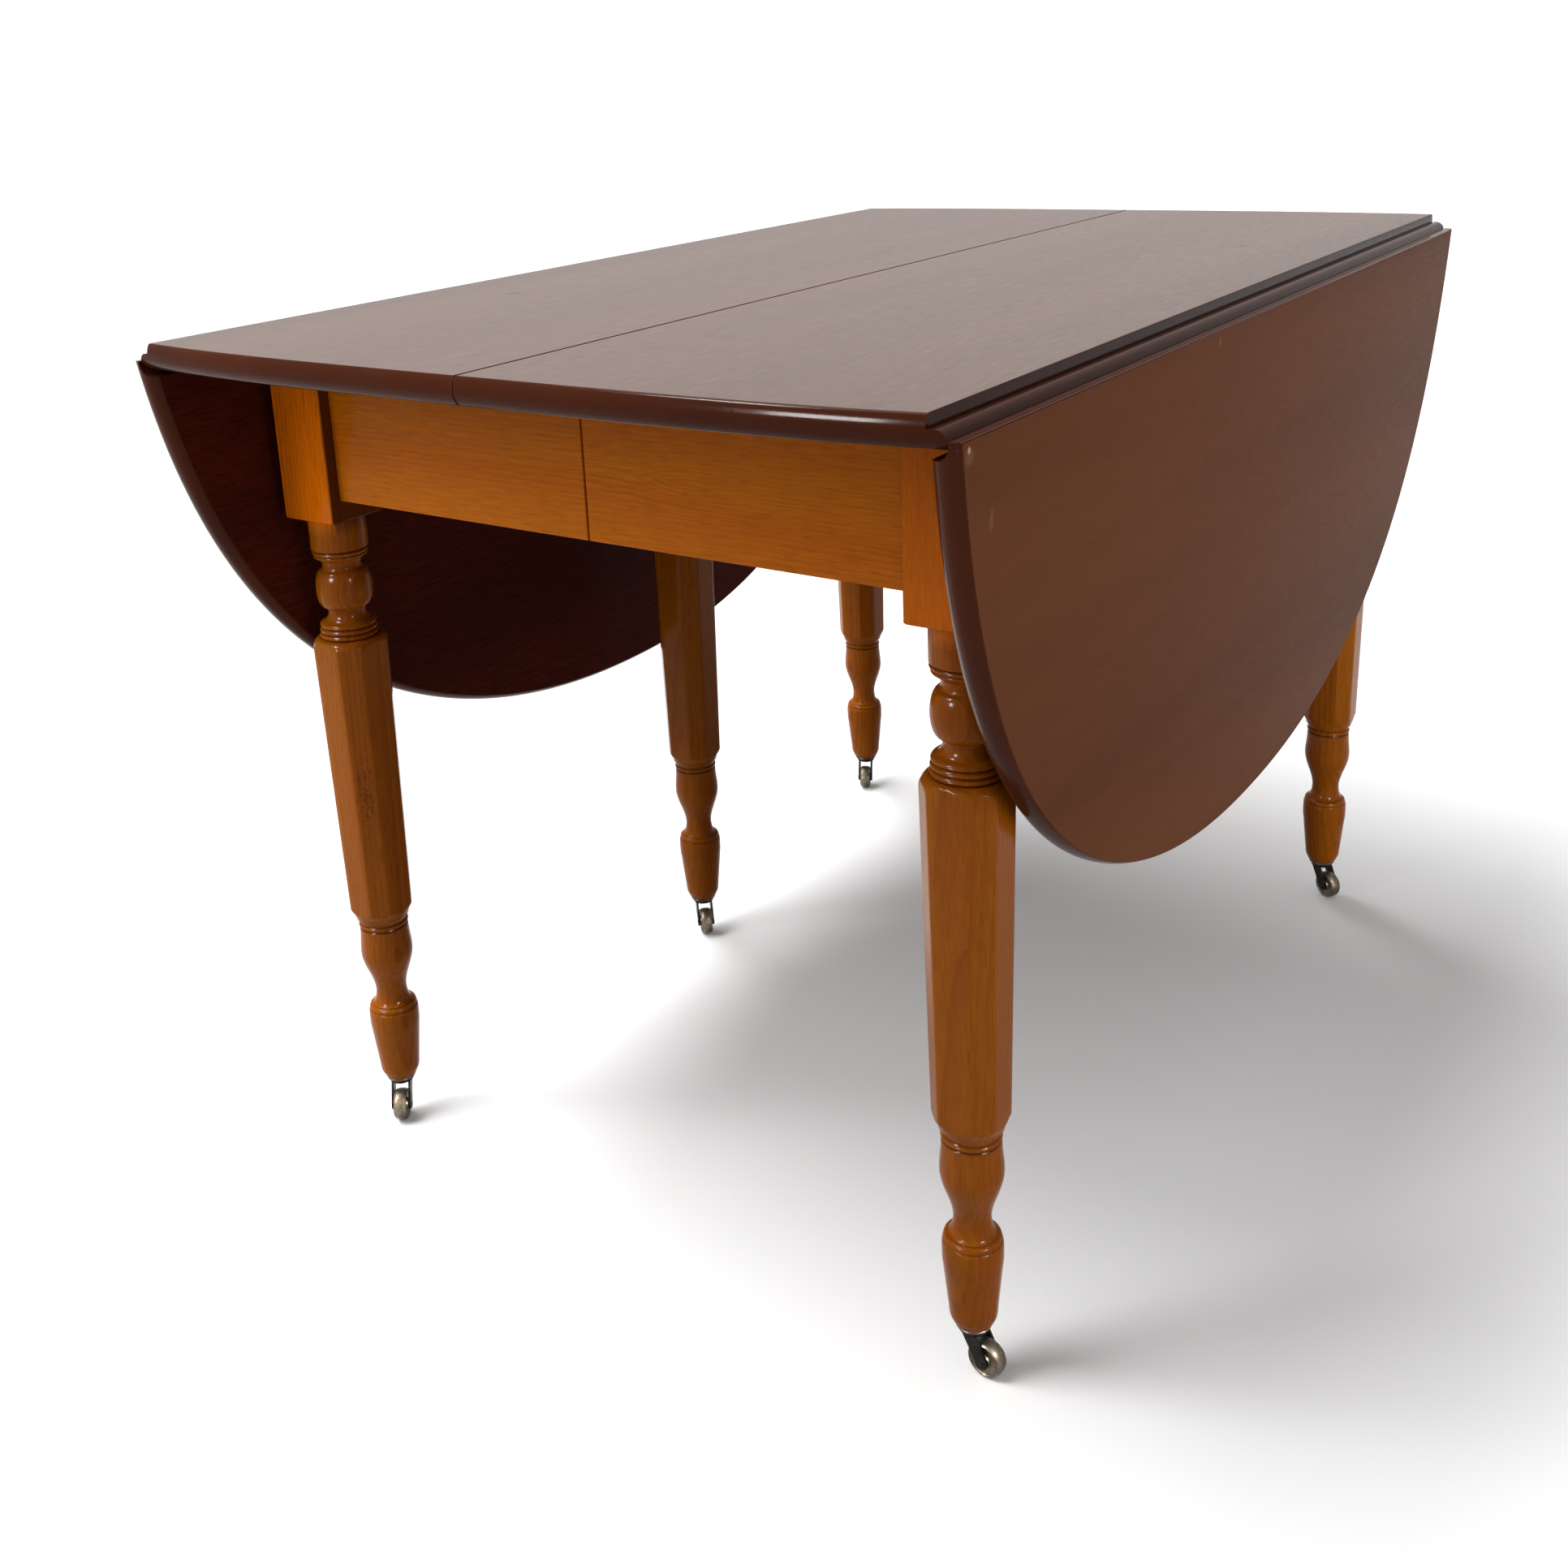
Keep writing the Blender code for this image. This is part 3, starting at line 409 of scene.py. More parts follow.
def rubbed_metal(name, colour, patina, patch_width):
    """Metal whose patina, given as sRGB hex, is rubbed off in patches."""
    material, tree = new_material(name)
    place = add_node(tree, "TexCoord")["Object"]
    patches = add_node(tree, "TexNoise", {
        "Vector": place, "Scale": 1 / patch_width, "Detail": 4.0, "Roughness": 0.65})["Fac"]
    bare = add_node(tree, "MapRange", {
        "Value": patches, "From Min": 0.4, "From Max": 0.65})["Result"]
    rough = add_node(tree, "MapRange", {"Value": bare, "To Min": 0.55, "To Max": 0.32})["Result"]
    return close_material(material, {
        "Base Color": lay_over(tree, linear(patina), colour, bare), "Roughness": rough, "Metallic": 1.0})


def blackened_iron(colours):
    """Cast iron, blackened: near black, with a dull grey sheen where it is rubbed."""
    return rubbed_metal("blackened_iron", colours.iron, "151210", patch_width=0.006)


def dulled_steel(colours):
    """Steel, stamped and dulled by age: dark grey-brown, brighter where the rim is rubbed."""
    return rubbed_metal("dulled_steel", colours.steel, "37322c", patch_width=0.005)


def worn_brass(colours):
    """Brass, turned and worn dull on the floor: grey-brown with a brighter tread."""
    return rubbed_metal("worn_brass", colours.brass, "453d31", patch_width=0.008)


def finished(shape, name="piece"):
    """Mesh out of a working shape, which is then let go."""
    mesh = bpy.data.meshes.new(name)
    shape.to_mesh(mesh)
    shape.free()
    return mesh


def loft(rings, wrap=False):
    """Mesh through rings of equal count, capped at both ends or joined from the last ring to the first."""
    shape = bmesh.new()
    rows = [[shape.verts.new(point) for point in ring] for ring in rings]
    count = len(rows[0])
    pairs = list(zip(rows, rows[1:]))
    if wrap:
        pairs.append((rows[-1], rows[0]))
    for row, following in pairs:
        for place in range(count):
            after = (place + 1) % count
            shape.faces.new((row[place], row[after], following[after], following[place]))
    if not wrap:
        shape.faces.new(rows[0])
        shape.faces.new(rows[-1])
    bmesh.ops.recalc_face_normals(shape, faces=shape.faces)
    return finished(shape)


def slab(outline, low, high):
    """Mesh of an outline in plan, from a low level to a high one."""
    return loft([[Vector((x, y, z)) for x, y in outline] for z in (low, high)])


def round_points(radius, angles):
    """Points in plan on a circle."""
    return [(radius * cos(angle), radius * sin(angle)) for angle in angles]


def mirrored(points):
    """Points in reverse, with front and back changed over."""
    return [Vector((point.x, -point.y, point.z)) for point in reversed(points)]


def joined(meshes):
    """One mesh out of several."""
    shape = bmesh.new()
    for mesh in meshes:
        shape.from_mesh(mesh)
    return finished(shape)


# Faces that meet at less than the first angle are shaded as one, and edges over the second are softened
SMOOTH_ANGLE = radians(32)
ARRIS_ANGLE = radians(35)
ARRIS_SEGMENTS = 2


def add_object(name, data):
    """Object in the scene."""
    made = bpy.data.objects.new(name, data)
    bpy.context.scene.collection.objects.link(made)
    return made


def add_piece(name, mesh, materials, body, nodes, place=Matrix.Identity(4)):
    """Piece that rides on a body and stands for CAD nodes."""
    mesh.shade_smooth()
    mesh.set_sharp_from_angle(angle=SMOOTH_ANGLE)
    if not mesh.materials:
        for material in materials:
            mesh.materials.append(material)
    piece = add_object(name, mesh)
    piece.matrix_world = place
    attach(piece, body)
    if nodes:
        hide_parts(*nodes)
    return piece


def soften(piece, width):
    """Small rounded arrises on a piece."""
    bevel = piece.modifiers.new("arris", "BEVEL")
    bevel.width = width
    bevel.segments = ARRIS_SEGMENTS
    bevel.limit_method = "ANGLE"
    bevel.angle_limit = ARRIS_ANGLE
    bevel.harden_normals = True


def node_copy(node):
    """Copy of a CAD node's mesh with its flat faces whole, ready for softened arrises."""
    shape = bmesh.new()
    shape.from_mesh(frame["nodes"][node].data)
    same_place = 1e-6
    flat = radians(0.5)
    bmesh.ops.remove_doubles(shape, verts=shape.verts, dist=same_place)
    bmesh.ops.dissolve_limit(shape, angle_limit=flat, verts=shape.verts, edges=shape.edges)
    return finished(shape, f"{node}_copy")


def rounding(distance, radius):
    """How far a rounded arris draws back at a distance from the face it meets."""
    if distance >= radius:
        return 0.0
    return radius - sqrt(radius ** 2 - (radius - distance) ** 2)


def eased(first, last, steps):
    """Values from first to last, closer together at both ends."""
    shares = [(1 - cos(pi * step / steps)) / 2 for step in range(steps + 1)]
    return [first + (last - first) * share for share in shares]


# Plan of the raised top: a superellipse, squarer across the table than along it
OUTLINE_POWER_X = 3.7
OUTLINE_POWER_Y = 2.15
EDGE_POWER = 2.2
EDGE_STEPS = 20


def half_length(sizes, x, inset):
    """Half the length of the raised top at a distance from the seam, with an inset all round."""
    share = 1 - (x / (sizes.open_width / 2 - inset)) ** OUTLINE_POWER_X
    return (TOP_HIGH.y - inset) * max(share, 0.0) ** (1 / OUTLINE_POWER_Y)


def edge_inset(sizes, depth):
    """How far the moulded edge draws back at a depth below the upper face."""
    widest = sizes.edge_widest
    if depth < widest:
        inset = sizes.edge_above * (1 - depth / widest) ** EDGE_POWER
    else:
        inset = sizes.edge_below * ((depth - widest) / (THICKNESS - widest)) ** EDGE_POWER
    return inset + rounding(depth, sizes.arris) + rounding(max(THICKNESS - depth, 0.0), sizes.arris)


def half_top_stations(sizes):
    """Sections of a half top, first of its board and then of its ovolo.

    Each is a distance from the seam with the depths of the upper and the lower face there.
    """
    seam = TOP_LOW.x
    line = sizes.hinge_line
    arris_steps = 5
    plan_steps = 24
    ovolo_steps = 18
    flat = [seam + step for step in eased(0.0, 2 * sizes.seam_arris, arris_steps)][:-1]
    flat += eased(seam + 2 * sizes.seam_arris, line - 2 * sizes.arris, plan_steps)
    flat += [line - step for step in reversed(eased(0.0, 2 * sizes.arris, arris_steps))][1:]
    board = []
    for x in flat:
        depth = rounding(x - seam, sizes.seam_arris) + rounding(max(line - x, 0.0), sizes.arris)
        board.append((x, depth, THICKNESS))
    start = acos((line - AXIS.x) / OVOLO_RADIUS)
    stop = radians(7)
    underside_end = sqrt(OVOLO_RADIUS ** 2 - AXIS_RISE ** 2)
    ovolo = []
    for step in range(ovolo_steps + 1):
        angle = start + (stop - start) * step / ovolo_steps
        across = OVOLO_RADIUS * cos(angle)
        rise = OVOLO_RADIUS * sin(angle)
        fall = AXIS_RISE if across < underside_end else rise
        ovolo.append((AXIS.x + across, AXIS_DROP - rise, AXIS_DROP + fall))
    return board, ovolo


def end_profiles(sizes, station):
    """Moulded profile at the back end of a section, downwards, and at its front end, upwards."""
    x, upper, lower = station
    back = []
    for depth in eased(upper, lower, EDGE_STEPS):
        back.append(Vector((x, half_length(sizes, x, edge_inset(sizes, depth)), TOP_HIGH.z - depth)))
    return back, mirrored(back)


def half_top_meshes(sizes):
    """Board of a half top in the side frame, and the moulded edge round it: two ends and the ovolo."""
    board, ovolo = half_top_stations(sizes)
    ends = [end_profiles(sizes, station) for station in board]
    nose = [back + front for back, front in (end_profiles(sizes, station) for station in ovolo)]
    middle = [[back[0], back[-1], front[0], front[-1]] for back, front in ends]
    edges = [loft([back for back, front in ends]), loft([front for back, front in ends]), loft(nose)]
    return loft(middle), joined(edges)


def leaf_inner(sizes, depth):
    """Distance from the seam of a raised leaf's inner edge at a depth: the lip, then the cove."""
    cove = OVOLO_RADIUS + sizes.rule_gap
    lip = sizes.hinge_line + sizes.rule_gap + rounding(depth, sizes.arris)
    rise = AXIS_DROP - depth
    if rise >= cove:
        return lip
    if rise <= 0:
        return AXIS.x + cove
    return AXIS.x + sqrt(cove ** 2 - rise ** 2)


def leaf_ring(sizes, depth):
    """Plan of a raised leaf at a depth, up the back edge and down the front one, about its hinge axis."""
    inset = edge_inset(sizes, depth)
    reach = sizes.open_width / 2 - inset
    half = TOP_HIGH.y - inset
    edge_steps = 72
    start = acos((leaf_inner(sizes, depth) / reach) ** (OUTLINE_POWER_X / 2))
    back = []
    for step in range(edge_steps + 1):
        angle = start * (1 - step / edge_steps)
        x = reach * cos(angle) ** (2 / OUTLINE_POWER_X)
        y = half * sin(angle) ** (2 / OUTLINE_POWER_Y)
        back.append(Vector((x - AXIS.x, y, AXIS_DROP - depth)))
    return back + mirrored(back[:-1])


def leaf_mesh(sizes):
    """Leaf lying open, about its own hinge axis."""
    lip_depth = AXIS_DROP - OVOLO_RADIUS - sizes.rule_gap
    lip_face = 0.00006
    cove_steps = 16
    depths = [depth for depth in eased(0.0, THICKNESS, EDGE_STEPS) if depth < lip_depth]
    depths += [lip_depth - lip_face]
    depths += eased(lip_depth + lip_face, AXIS_DROP, cove_steps)
    depths += [depth for depth in eased(0.0, THICKNESS, EDGE_STEPS) if depth > AXIS_DROP]
    return loft([leaf_ring(sizes, depth) for depth in depths])


# Material slots of a board: its upper face, its edges, and its underside and seam
UPPER_SLOT, EDGE_SLOT, UNDER_SLOT = range(3)


def face_slots(mesh, upper=UPPER_SLOT, seam=-1.0):
    """Board lying flat, with the slot of each face set by where it looks and whether it is in the seam."""
    level = 0.97
    for face in mesh.polygons:
        if face.normal.z > level and face.center.x > seam:
            face.material_index = upper
        elif face.normal.z < -level or face.center.x < seam:
            face.material_index = UNDER_SLOT
        else:
            face.material_index = EDGE_SLOT
    return mesh


class TABLE_OT_boards(bpy.types.Operator):
    """Make the two half tops and the two leaves"""

    bl_idname = "table.boards"
    bl_label = "Half tops and leaves"

    def execute(self, context):
        sizes = context.scene.table_sizes
        colours = context.scene.table_colours
        pale, scuff = colours.bruise_pale, colours.scuff
        # Marks: centre, reach and colour
        dents = [((0.246, 0.229, TOP_HIGH.z), (0.0080, 0.0120, 0.01), colours.bruise_dark)]
        scuffs = [
            ((0.0490, -0.5020, AXIS_DROP), (0.0090, 0.0030, 0.01), scuff),
            ((0.0060, -0.1460, AXIS_DROP), (0.0060, 0.0030, 0.01), scuff),
            ((0.0070, -0.5300, AXIS_DROP), (0.0060, 0.0060, 0.01), scuff),
            ((0.0030, -0.5305, AXIS_DROP), (0.0026, 0.0022, 0.01), pale),
        ]
        chips = [((0.0020, -0.5410, AXIS_DROP - 0.0012), (0.0026, 0.0022, 0.003), pale)]
        top = polished_mahogany(colours, "top", figure=0.25, smooth=0.36, gloss=0.47, marks=dents)
        leaf = polished_mahogany(colours, "leaf", figure=0.08, smooth=0.46, gloss=0.01, marks=scuffs)
        edge = polished_mahogany(colours, "edge", figure=0.10, smooth=0.13, gloss=0.034, marks=chips)
        under = stained_mahogany(colours)
        half_board, half_edge = half_top_meshes(sizes)
        seam = TOP_LOW.x + sizes.seam_arris
        face_slots(half_board, seam=seam)
        face_slots(half_edge, upper=EDGE_SLOT, seam=seam)
        leaf_board = face_slots(leaf_mesh(sizes))
        half_woods, leaf_woods = [top, edge, under], [leaf, edge, under]
        for side, turn in SIDES.items():
            half, hung = f"{side}_half", f"{side}_leaf"
            add_piece(f"{half}_board", half_board, half_woods, half, [f"{side}_top"], turn)
            add_piece(f"{half}_edge", half_edge, half_woods, half, [], turn)
            add_piece(f"{hung}_board", leaf_board, leaf_woods, hung, [hung], turn @ LEAF_REST)
        return {"FINISHED"}


# Turning under the block: drop below the block, radius, form of the way there, steps
UPPER_TURNING = (
    (0.0000, 0.0240, "line", 1),
    (0.0280, 0.0240, "line", 2),
    (0.0290, 0.0224, "line", 1),
    (0.0330, 0.0220, "bead", 6),
    (0.0366, 0.0206, "bead", 6),
    (0.0435, 0.0162, "arrive", 6),
    (0.0470, 0.0182, "leave", 4),
    (0.0640, 0.0238, "arrive", 8),
    (0.0800, 0.0178, "leave", 8),
    (0.0835, 0.0156, "arrive", 4),
    (0.0925, 0.0218, "leave", 6),
    (0.0970, 0.0222, "bead", 6),
    (0.1017, 0.0228, "bead", 6),
    (0.1065, 0.0234, "bead", 6),
)

# Turning over the foot: height above the end of the wood, radius, form, steps
LOWER_TURNING = (
    (0.1640, 0.0228, "line", 1),
    (0.1600, 0.0208, "arrive", 3),
    (0.1590, 0.0202, "line", 1),
    (0.1546, 0.0202, "bead", 7),
    (0.1536, 0.0206, "line", 1),
    (0.1520, 0.0214, "arrive", 2),
    (0.1290, 0.0230, "ease", 5),
    (0.0900, 0.0137, "ease", 14),
    (0.0770, 0.0182, "leave", 6),
    (0.0764, 0.0178, "line", 1),
    (0.0757, 0.0190, "line", 1),
    (0.0722, 0.0211, "arrive", 4),
    (0.0716, 0.0206, "line", 1),
    (0.0709, 0.0214, "line", 1),
    (0.0640, 0.0222, "arrive", 5),
    (0.0540, 0.0219, "leave", 4),
    (0.0140, 0.0178, "line", 3),
    (0.0050, 0.0155, "leave", 4),
    (0.0000, 0.0116, "leave", 4),
)
BEAD_FULLNESS = 0.38

# Where the turned shoulders of the octagon start and end, as drop or rise and radius
HEAD_SHOULDER = ((0.1065, 0.0246), (0.1185, 0.0324))
TAIL_SHOULDER = ((0.1640, 0.0234), (0.1775, 0.0286))
SHOULDER_STEPS = 7
OCTAGON_STEPS = 6
BLOCK_FOOT_CHAMFER = 0.0010

# Half of what each octagon corner and each block corner is softened by, as an angle in degrees
OCTAGON_ARRIS = 0.9
BLOCK_ARRIS = 1.2

# The octagon is a square with its corners taken off: half the angle that a main face takes up, in degrees
MAIN_FACE = 27.2
CORNER_FACE = 45 - MAIN_FACE


def turned_points(rows):
    """Distance and radius down a turning, with its curves worked out."""
    points = [rows[0][:2]]
    for distance, radius, form, steps in rows[1:]:
        first_distance, first_radius = points[-1]
        run = distance - first_distance
        for step in range(1, steps + 1):
            share = step / steps
            quarter = share * pi / 2
            along, across = {
                "line": (share, share),
                "bead": (share, share),
                "ease": (share, share * share * (3 - 2 * share)),
                "arrive": (1 - cos(quarter), sin(quarter)),
                "leave": (sin(quarter), 1 - cos(quarter)),
            }[form]
            swell = BEAD_FULLNESS * abs(run) * sin(pi * share) if form == "bead" else 0.0
            reach = first_radius + (radius - first_radius) * across + swell
            points.append((first_distance + run * along, reach))
    return points


def ring_angles():
    """Angles round a leg, with a close pair at each corner of the octagon and of the block."""
    angles = []
    for sector in range(8):
        half = CORNER_FACE if sector % 2 else MAIN_FACE
        offsets = [BLOCK_ARRIS, half / 3, half * 2 / 3, half - OCTAGON_ARRIS]
        offsets = [-offset for offset in reversed(offsets)] + offsets
        angles += [radians(45 * sector + offset) for offset in offsets]
    return angles


RING_ANGLES = ring_angles()


def off_face(angle):
    """Angle from the middle of the nearest of four faces, one of them facing +X."""
    step = pi / 2
    return (angle + step / 2) % step - step / 2


def block_reach(half_width, angle):
    """Reach at an angle of a square section."""
    return half_width / cos(off_face(angle))


def octagon_reach(corner, angle):
    """Reach at an angle of an octagon with wide main faces, from the reach of its corners."""
    main = corner * cos(radians(MAIN_FACE)) / cos(off_face(angle))
    cut = corner * cos(radians(CORNER_FACE)) / cos(off_face(angle + pi / 4))
    return min(main, cut)


def ring(height, reach_at):
    """Ring of points at a height, with a reach for each angle."""
    return [Vector((reach_at(a) * cos(a), reach_at(a) * sin(a), height)) for a in RING_ANGLES]


def shoulder(ends, form):
    """Distance and radius along a turned shoulder of the octagon."""
    (first, first_radius), (last, last_radius) = ends
    return turned_points(((first, first_radius, "line", 1), (last, last_radius, form, SHOULDER_STEPS)))


def octagon_rings(sizes, block_bottom):
    """Octagon with its flats cut off by turned shoulders, which leaves an arch at the end of each flat."""
    levels = [(block_bottom - drop, limit) for drop, limit in shoulder(HEAD_SHOULDER, "arrive")]
    tail = [(FOOT_END + rise, limit) for rise, limit in reversed(shoulder(TAIL_SHOULDER, "ease"))]
    head_end, tail_end = levels[-1][0], tail[0][0]
    for step in range(1, OCTAGON_STEPS):
        levels.append((head_end + (tail_end - head_end) * step / OCTAGON_STEPS, sizes.octagon_top))
    rings = []
    for height, limit in levels + tail:
        share = (height - tail_end) / (head_end - tail_end)
        width = sizes.octagon_foot + (sizes.octagon_top - sizes.octagon_foot) * share
        rings.append(ring(height, lambda a: min(limit, octagon_reach(width / 2, a))))
    return rings


def leg_mesh(sizes, block_top):
    """Leg about its own axis: block, turning, octagon, turning."""
    block_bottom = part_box("front_left_apron")[0].z - sizes.block_drop
    half = sizes.block / 2
    small = half - BLOCK_FOOT_CHAMFER
    block = ((block_top, half), (block_bottom + BLOCK_FOOT_CHAMFER, half), (block_bottom, small))
    rings = [ring(height, lambda a: block_reach(width, a)) for height, width in block]
    rings += [ring(block_bottom - drop, lambda a: radius) for drop, radius in turned_points(UPPER_TURNING)]
    rings += octagon_rings(sizes, block_bottom)
    rings += [ring(FOOT_END + rise, lambda a: radius) for rise, radius in turned_points(LOWER_TURNING)]
    return mark_turning(loft(rings), rings, block_bottom)


def mark_turning(mesh, rings, block_bottom):
    """Leg with its relief, which carries painted shade: in the hollows of the turning, by how far each ring
    lies below those near it, and on the block's sides beside the aprons.

    Turned wood gets a little painted shade all over, so the flat faces of the block stand out above it.
    """
    reach = 0.0028
    deep = 0.0014
    # Painted shade over all the turned wood
    turned_shade = -0.35
    # Painted shade on the block's sides beside the aprons
    shade_beside_aprons = -1.0
    corner = pi / 4
    spans = [(points[0].z, max(point.xy.length for point in points)) for points in rings]
    relief_and_painted_shade = mesh.attributes.new("relief_and_painted_shade", "FLOAT", "POINT")
    count = len(RING_ANGLES)
    for place, (height, radius) in enumerate(spans):
        over = [other for level, other in spans if 0 <= level - height < reach]
        below = [other for level, other in spans if 0 <= height - level < reach]
        # Painted shade in the hollows of the turning, by how far the ring lies below those near it
        painted_hollow_shade = max(-1.0, turned_shade + (radius - min(max(over), max(below))) / deep)
        for step, angle in enumerate(RING_ANGLES):
            round_from_corner = (angle + corner) % (2 * pi)
            if height < block_bottom:
                value = painted_hollow_shade
            else:
                value = shade_beside_aprons if round_from_corner < pi else 1.0
            relief_and_painted_shade.data[place * count + step].value = value
    return mesh


class TABLE_OT_legs(bpy.types.Operator):
    """Make the four corner legs and the middle leg"""

    bl_idname = "table.legs"
    bl_label = "Legs"

    def execute(self, context):
        sizes = context.scene.table_sizes
        colours = context.scene.table_colours
        pith, lean = (0.055, 0.0, 0.02), (0.02, 0.0, 0.015)
        pale = varnished_cherry(colours, "pale_leg", "z", pith, lean, figure=0.40)
        # The darker copy is painted shade for the front right and middle legs, which stand where less light
        # falls
        dark = varnished_cherry(colours, "shaded_leg", "z", pith, lean, figure=0.40, leg_shade=0.30)
        legs_in_shade = ("front_right", "middle")
        corner = leg_mesh(sizes, BLOCK_TOP)
        middle = leg_mesh(sizes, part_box("cross_rail")[0].z - FIT)
        quarter_turns = {"front_left": 0, "front_right": 1, "back_right": 2, "back_left": 3, "middle": 1}
        for name, quarters in quarter_turns.items():
            low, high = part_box(f"{name}_leg")
            centre = (low + high) / 2
            turn = Matrix.Rotation(quarters * pi / 2, 4, "Z")
            place = Matrix.Translation((centre.x, centre.y, 0.0)) @ turn
            mesh = (middle if name == "middle" else corner).copy()
            wood = dark if name in legs_in_shade else pale
            body = LEG_BODIES[name]
            add_piece(f"{name}_turned_leg", mesh, [wood], body, [f"{name}_leg"], place)
        return {"FINISHED"}


class TABLE_OT_frame(bpy.types.Operator):
    """Make the aprons, rails, runners, bars, keepers, cross rail and seam pins"""

    bl_idname = "table.frame"
    bl_label = "Frame"

    def execute(self, context):
        colours = context.scene.table_colours
        arris = context.scene.table_sizes.frame_arris
        eye = (0.036, 0.092, 0.0125, 0.028)
        straight, lean = (0.0, 0.0, 0.0), (0.02, 0.0, 0.0)
        apron_pith, rail_pith = (0.4236, 0.0, 0.6475), (0.25, 0.0, 0.60)
        apron_wood = varnished_cherry(
            colours, "apron", "x", apron_pith, straight, figure=0.30, amber=0.3, eye=eye)
        rail_wood = varnished_cherry(colours, "rail", "y", rail_pith, lean, figure=0.30, amber=0.3)
        long_poplar = bare_poplar(colours, "x")
        cross_poplar = bare_poplar(colours, "y")
        finishes = {
            "_apron": (apron_wood, "cherry"),
            "_side_rail": (rail_wood, "cherry"),
            "cross_rail": (cross_poplar, "poplar"),
            ("_runner", "_leaf_bar", "_bar_keeper", "_seam_pin"): (long_poplar, "poplar"),
        }
        for body, nodes in frame["record"]["behaviour"]["bodies"].items():
            for node in nodes:
                for endings, (wood, slot) in finishes.items():
                    if node.endswith(endings):
                        piece = add_piece(f"{node}_wood", node_copy(node), [wood], body, [node])
                        soften(piece, arris)
        return {"FINISHED"}


def screw_head(radius, slot_width):
    """Slotted screw head with its face up, in two halves over a sunk disc."""
    steps = 12
    proud, sunk = 0.0003, 0.0004
    swing = asin(slot_width / 2 / radius)
    meshes = []
    for start in (swing, pi + swing):
        angles = [start + (pi - 2 * swing) * step / steps for step in range(steps + 1)]
        meshes.append(slab(round_points(radius, angles), -sunk, proud))
    circle = [pi * step / steps for step in range(2 * steps)]
    meshes.append(slab(round_points(radius, circle), -2 * sunk, -sunk / 2))
    return joined(meshes)


class TABLE_OT_hinges(bpy.types.Operator):
    """Make the leaf hinges with their screws"""

    bl_idname = "table.hinges"
    bl_label = "Hinges"

    def execute(self, context):
        iron = blackened_iron(context.scene.table_colours)
        plate_arris = 0.0005
        head = screw_head(radius=0.0036, slot_width=0.0009)
        for side, turn in SIDES.items():
            still, hung = turn @ Matrix.Translation(AXIS), turn @ LEAF_REST
            for station in ("front", "middle", "back"):
                name = f"{side}_hinge_{station}"
                low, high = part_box(f"{name}_fixed_plate")
                along = (turn @ ((low + high) / 2)).y
                plates = (("fixed_plate", f"{side}_half", still), ("leaf_plate", f"{side}_leaf", hung))
                for kind, body, place in plates:
                    node = f"{name}_{kind}"
                    plate = add_piece(f"{node}_iron", node_copy(node), [iron], body, [node])
                    soften(plate, plate_arris)
                    self.add_screws(node, body, place, along, head, iron)
        return {"FINISHED"}

    def add_screws(self, node, body, place, along, head, iron):
        """Three screws through a plate: two near its ends and one further from the axis."""
        plate_thickness = 0.0025
        lower_face = -AXIS_RISE - plate_thickness
        reach = -1 if node.endswith("fixed_plate") else 1
        seats = ((0.018, -0.017), (0.018, 0.017), (0.031, 0.0))
        screw_turn, plate_turn = 0.7, 0.4
        facing = Matrix.Rotation(pi, 4, "X")
        for number, (across, shift) in enumerate(seats):
            spin = Matrix.Rotation(screw_turn * number + plate_turn * len(node), 4, "Z")
            seat = Matrix.Translation((reach * across, along + shift, lower_face)) @ facing @ spin
            add_piece(f"{node}_screw_{number}", head.copy(), [iron], body, [], place @ seat)


def turned_mesh(profile, sides, wrap=False):
    """Mesh turned about Z from a profile of radius and height."""
    angles = [2 * pi * (step + 0.5) / sides for step in range(sides)]
    rings = []
    for radius, height in profile:
        rings.append([Vector((x, y, height)) for x, y in round_points(radius, angles)])
    return loft(rings, wrap)


# Caster
CASTER_SIDES = 40
PLATE_RADIUS = 0.0131
PLATE_BOTTOM = SWIVEL_TOP + 0.0004
STEM_RADIUS = 0.0041
STEM_LENGTH = 0.025
CROWN_RADIUS = 0.0109
CROWN_BOTTOM = 2 * WHEEL_RADIUS + 0.0060
PIVOT_RADIUS = 0.0030
WHEEL_HALF = 0.0060
HUB_RADIUS = 0.0050
CHEEK_INNER = 0.0066
CHEEK_OUTER = 0.0088
TRAIL = 0.011


def caster_plate_mesh():
    """Round plate with a rolled rim under the foot, its stem in the wood and its pivot below."""
    top = FOOT_END - FIT
    rivet = CROWN_BOTTOM - FIT
    rim = 0.0005
    return turned_mesh([
        (STEM_RADIUS, top + STEM_LENGTH),
        (STEM_RADIUS, top),
        (PLATE_RADIUS - rim, top),
        (PLATE_RADIUS, top - rim),
        (PLATE_RADIUS, PLATE_BOTTOM + rim),
        (PLATE_RADIUS - rim, PLATE_BOTTOM),
        (PIVOT_RADIUS, PLATE_BOTTOM),
        (PIVOT_RADIUS, rivet),
        (PIVOT_RADIUS * 1.5, rivet),
        (PIVOT_RADIUS * 1.4, rivet - 0.0009),
        (PIVOT_RADIUS * 0.7, rivet - 0.0012),
    ], CASTER_SIDES)


def cheek_mesh(side):
    """One cheek of the horn, from the crown back to the eye round the axle."""
    eye_radius = 0.0050
    half = 0.0058
    top = CROWN_BOTTOM + 0.0015
    steps = 14
    outline = [(half, top), (-half, top)]
    for step in range(steps + 1):
        angle = -pi + (pi + pi / 6) * step / steps
        outline.append((TRAIL + eye_radius * cos(angle), WHEEL_RADIUS + eye_radius * sin(angle)))
    return loft([[Vector((x, side * y, z)) for x, z in outline] for y in (CHEEK_INNER, CHEEK_OUTER)])


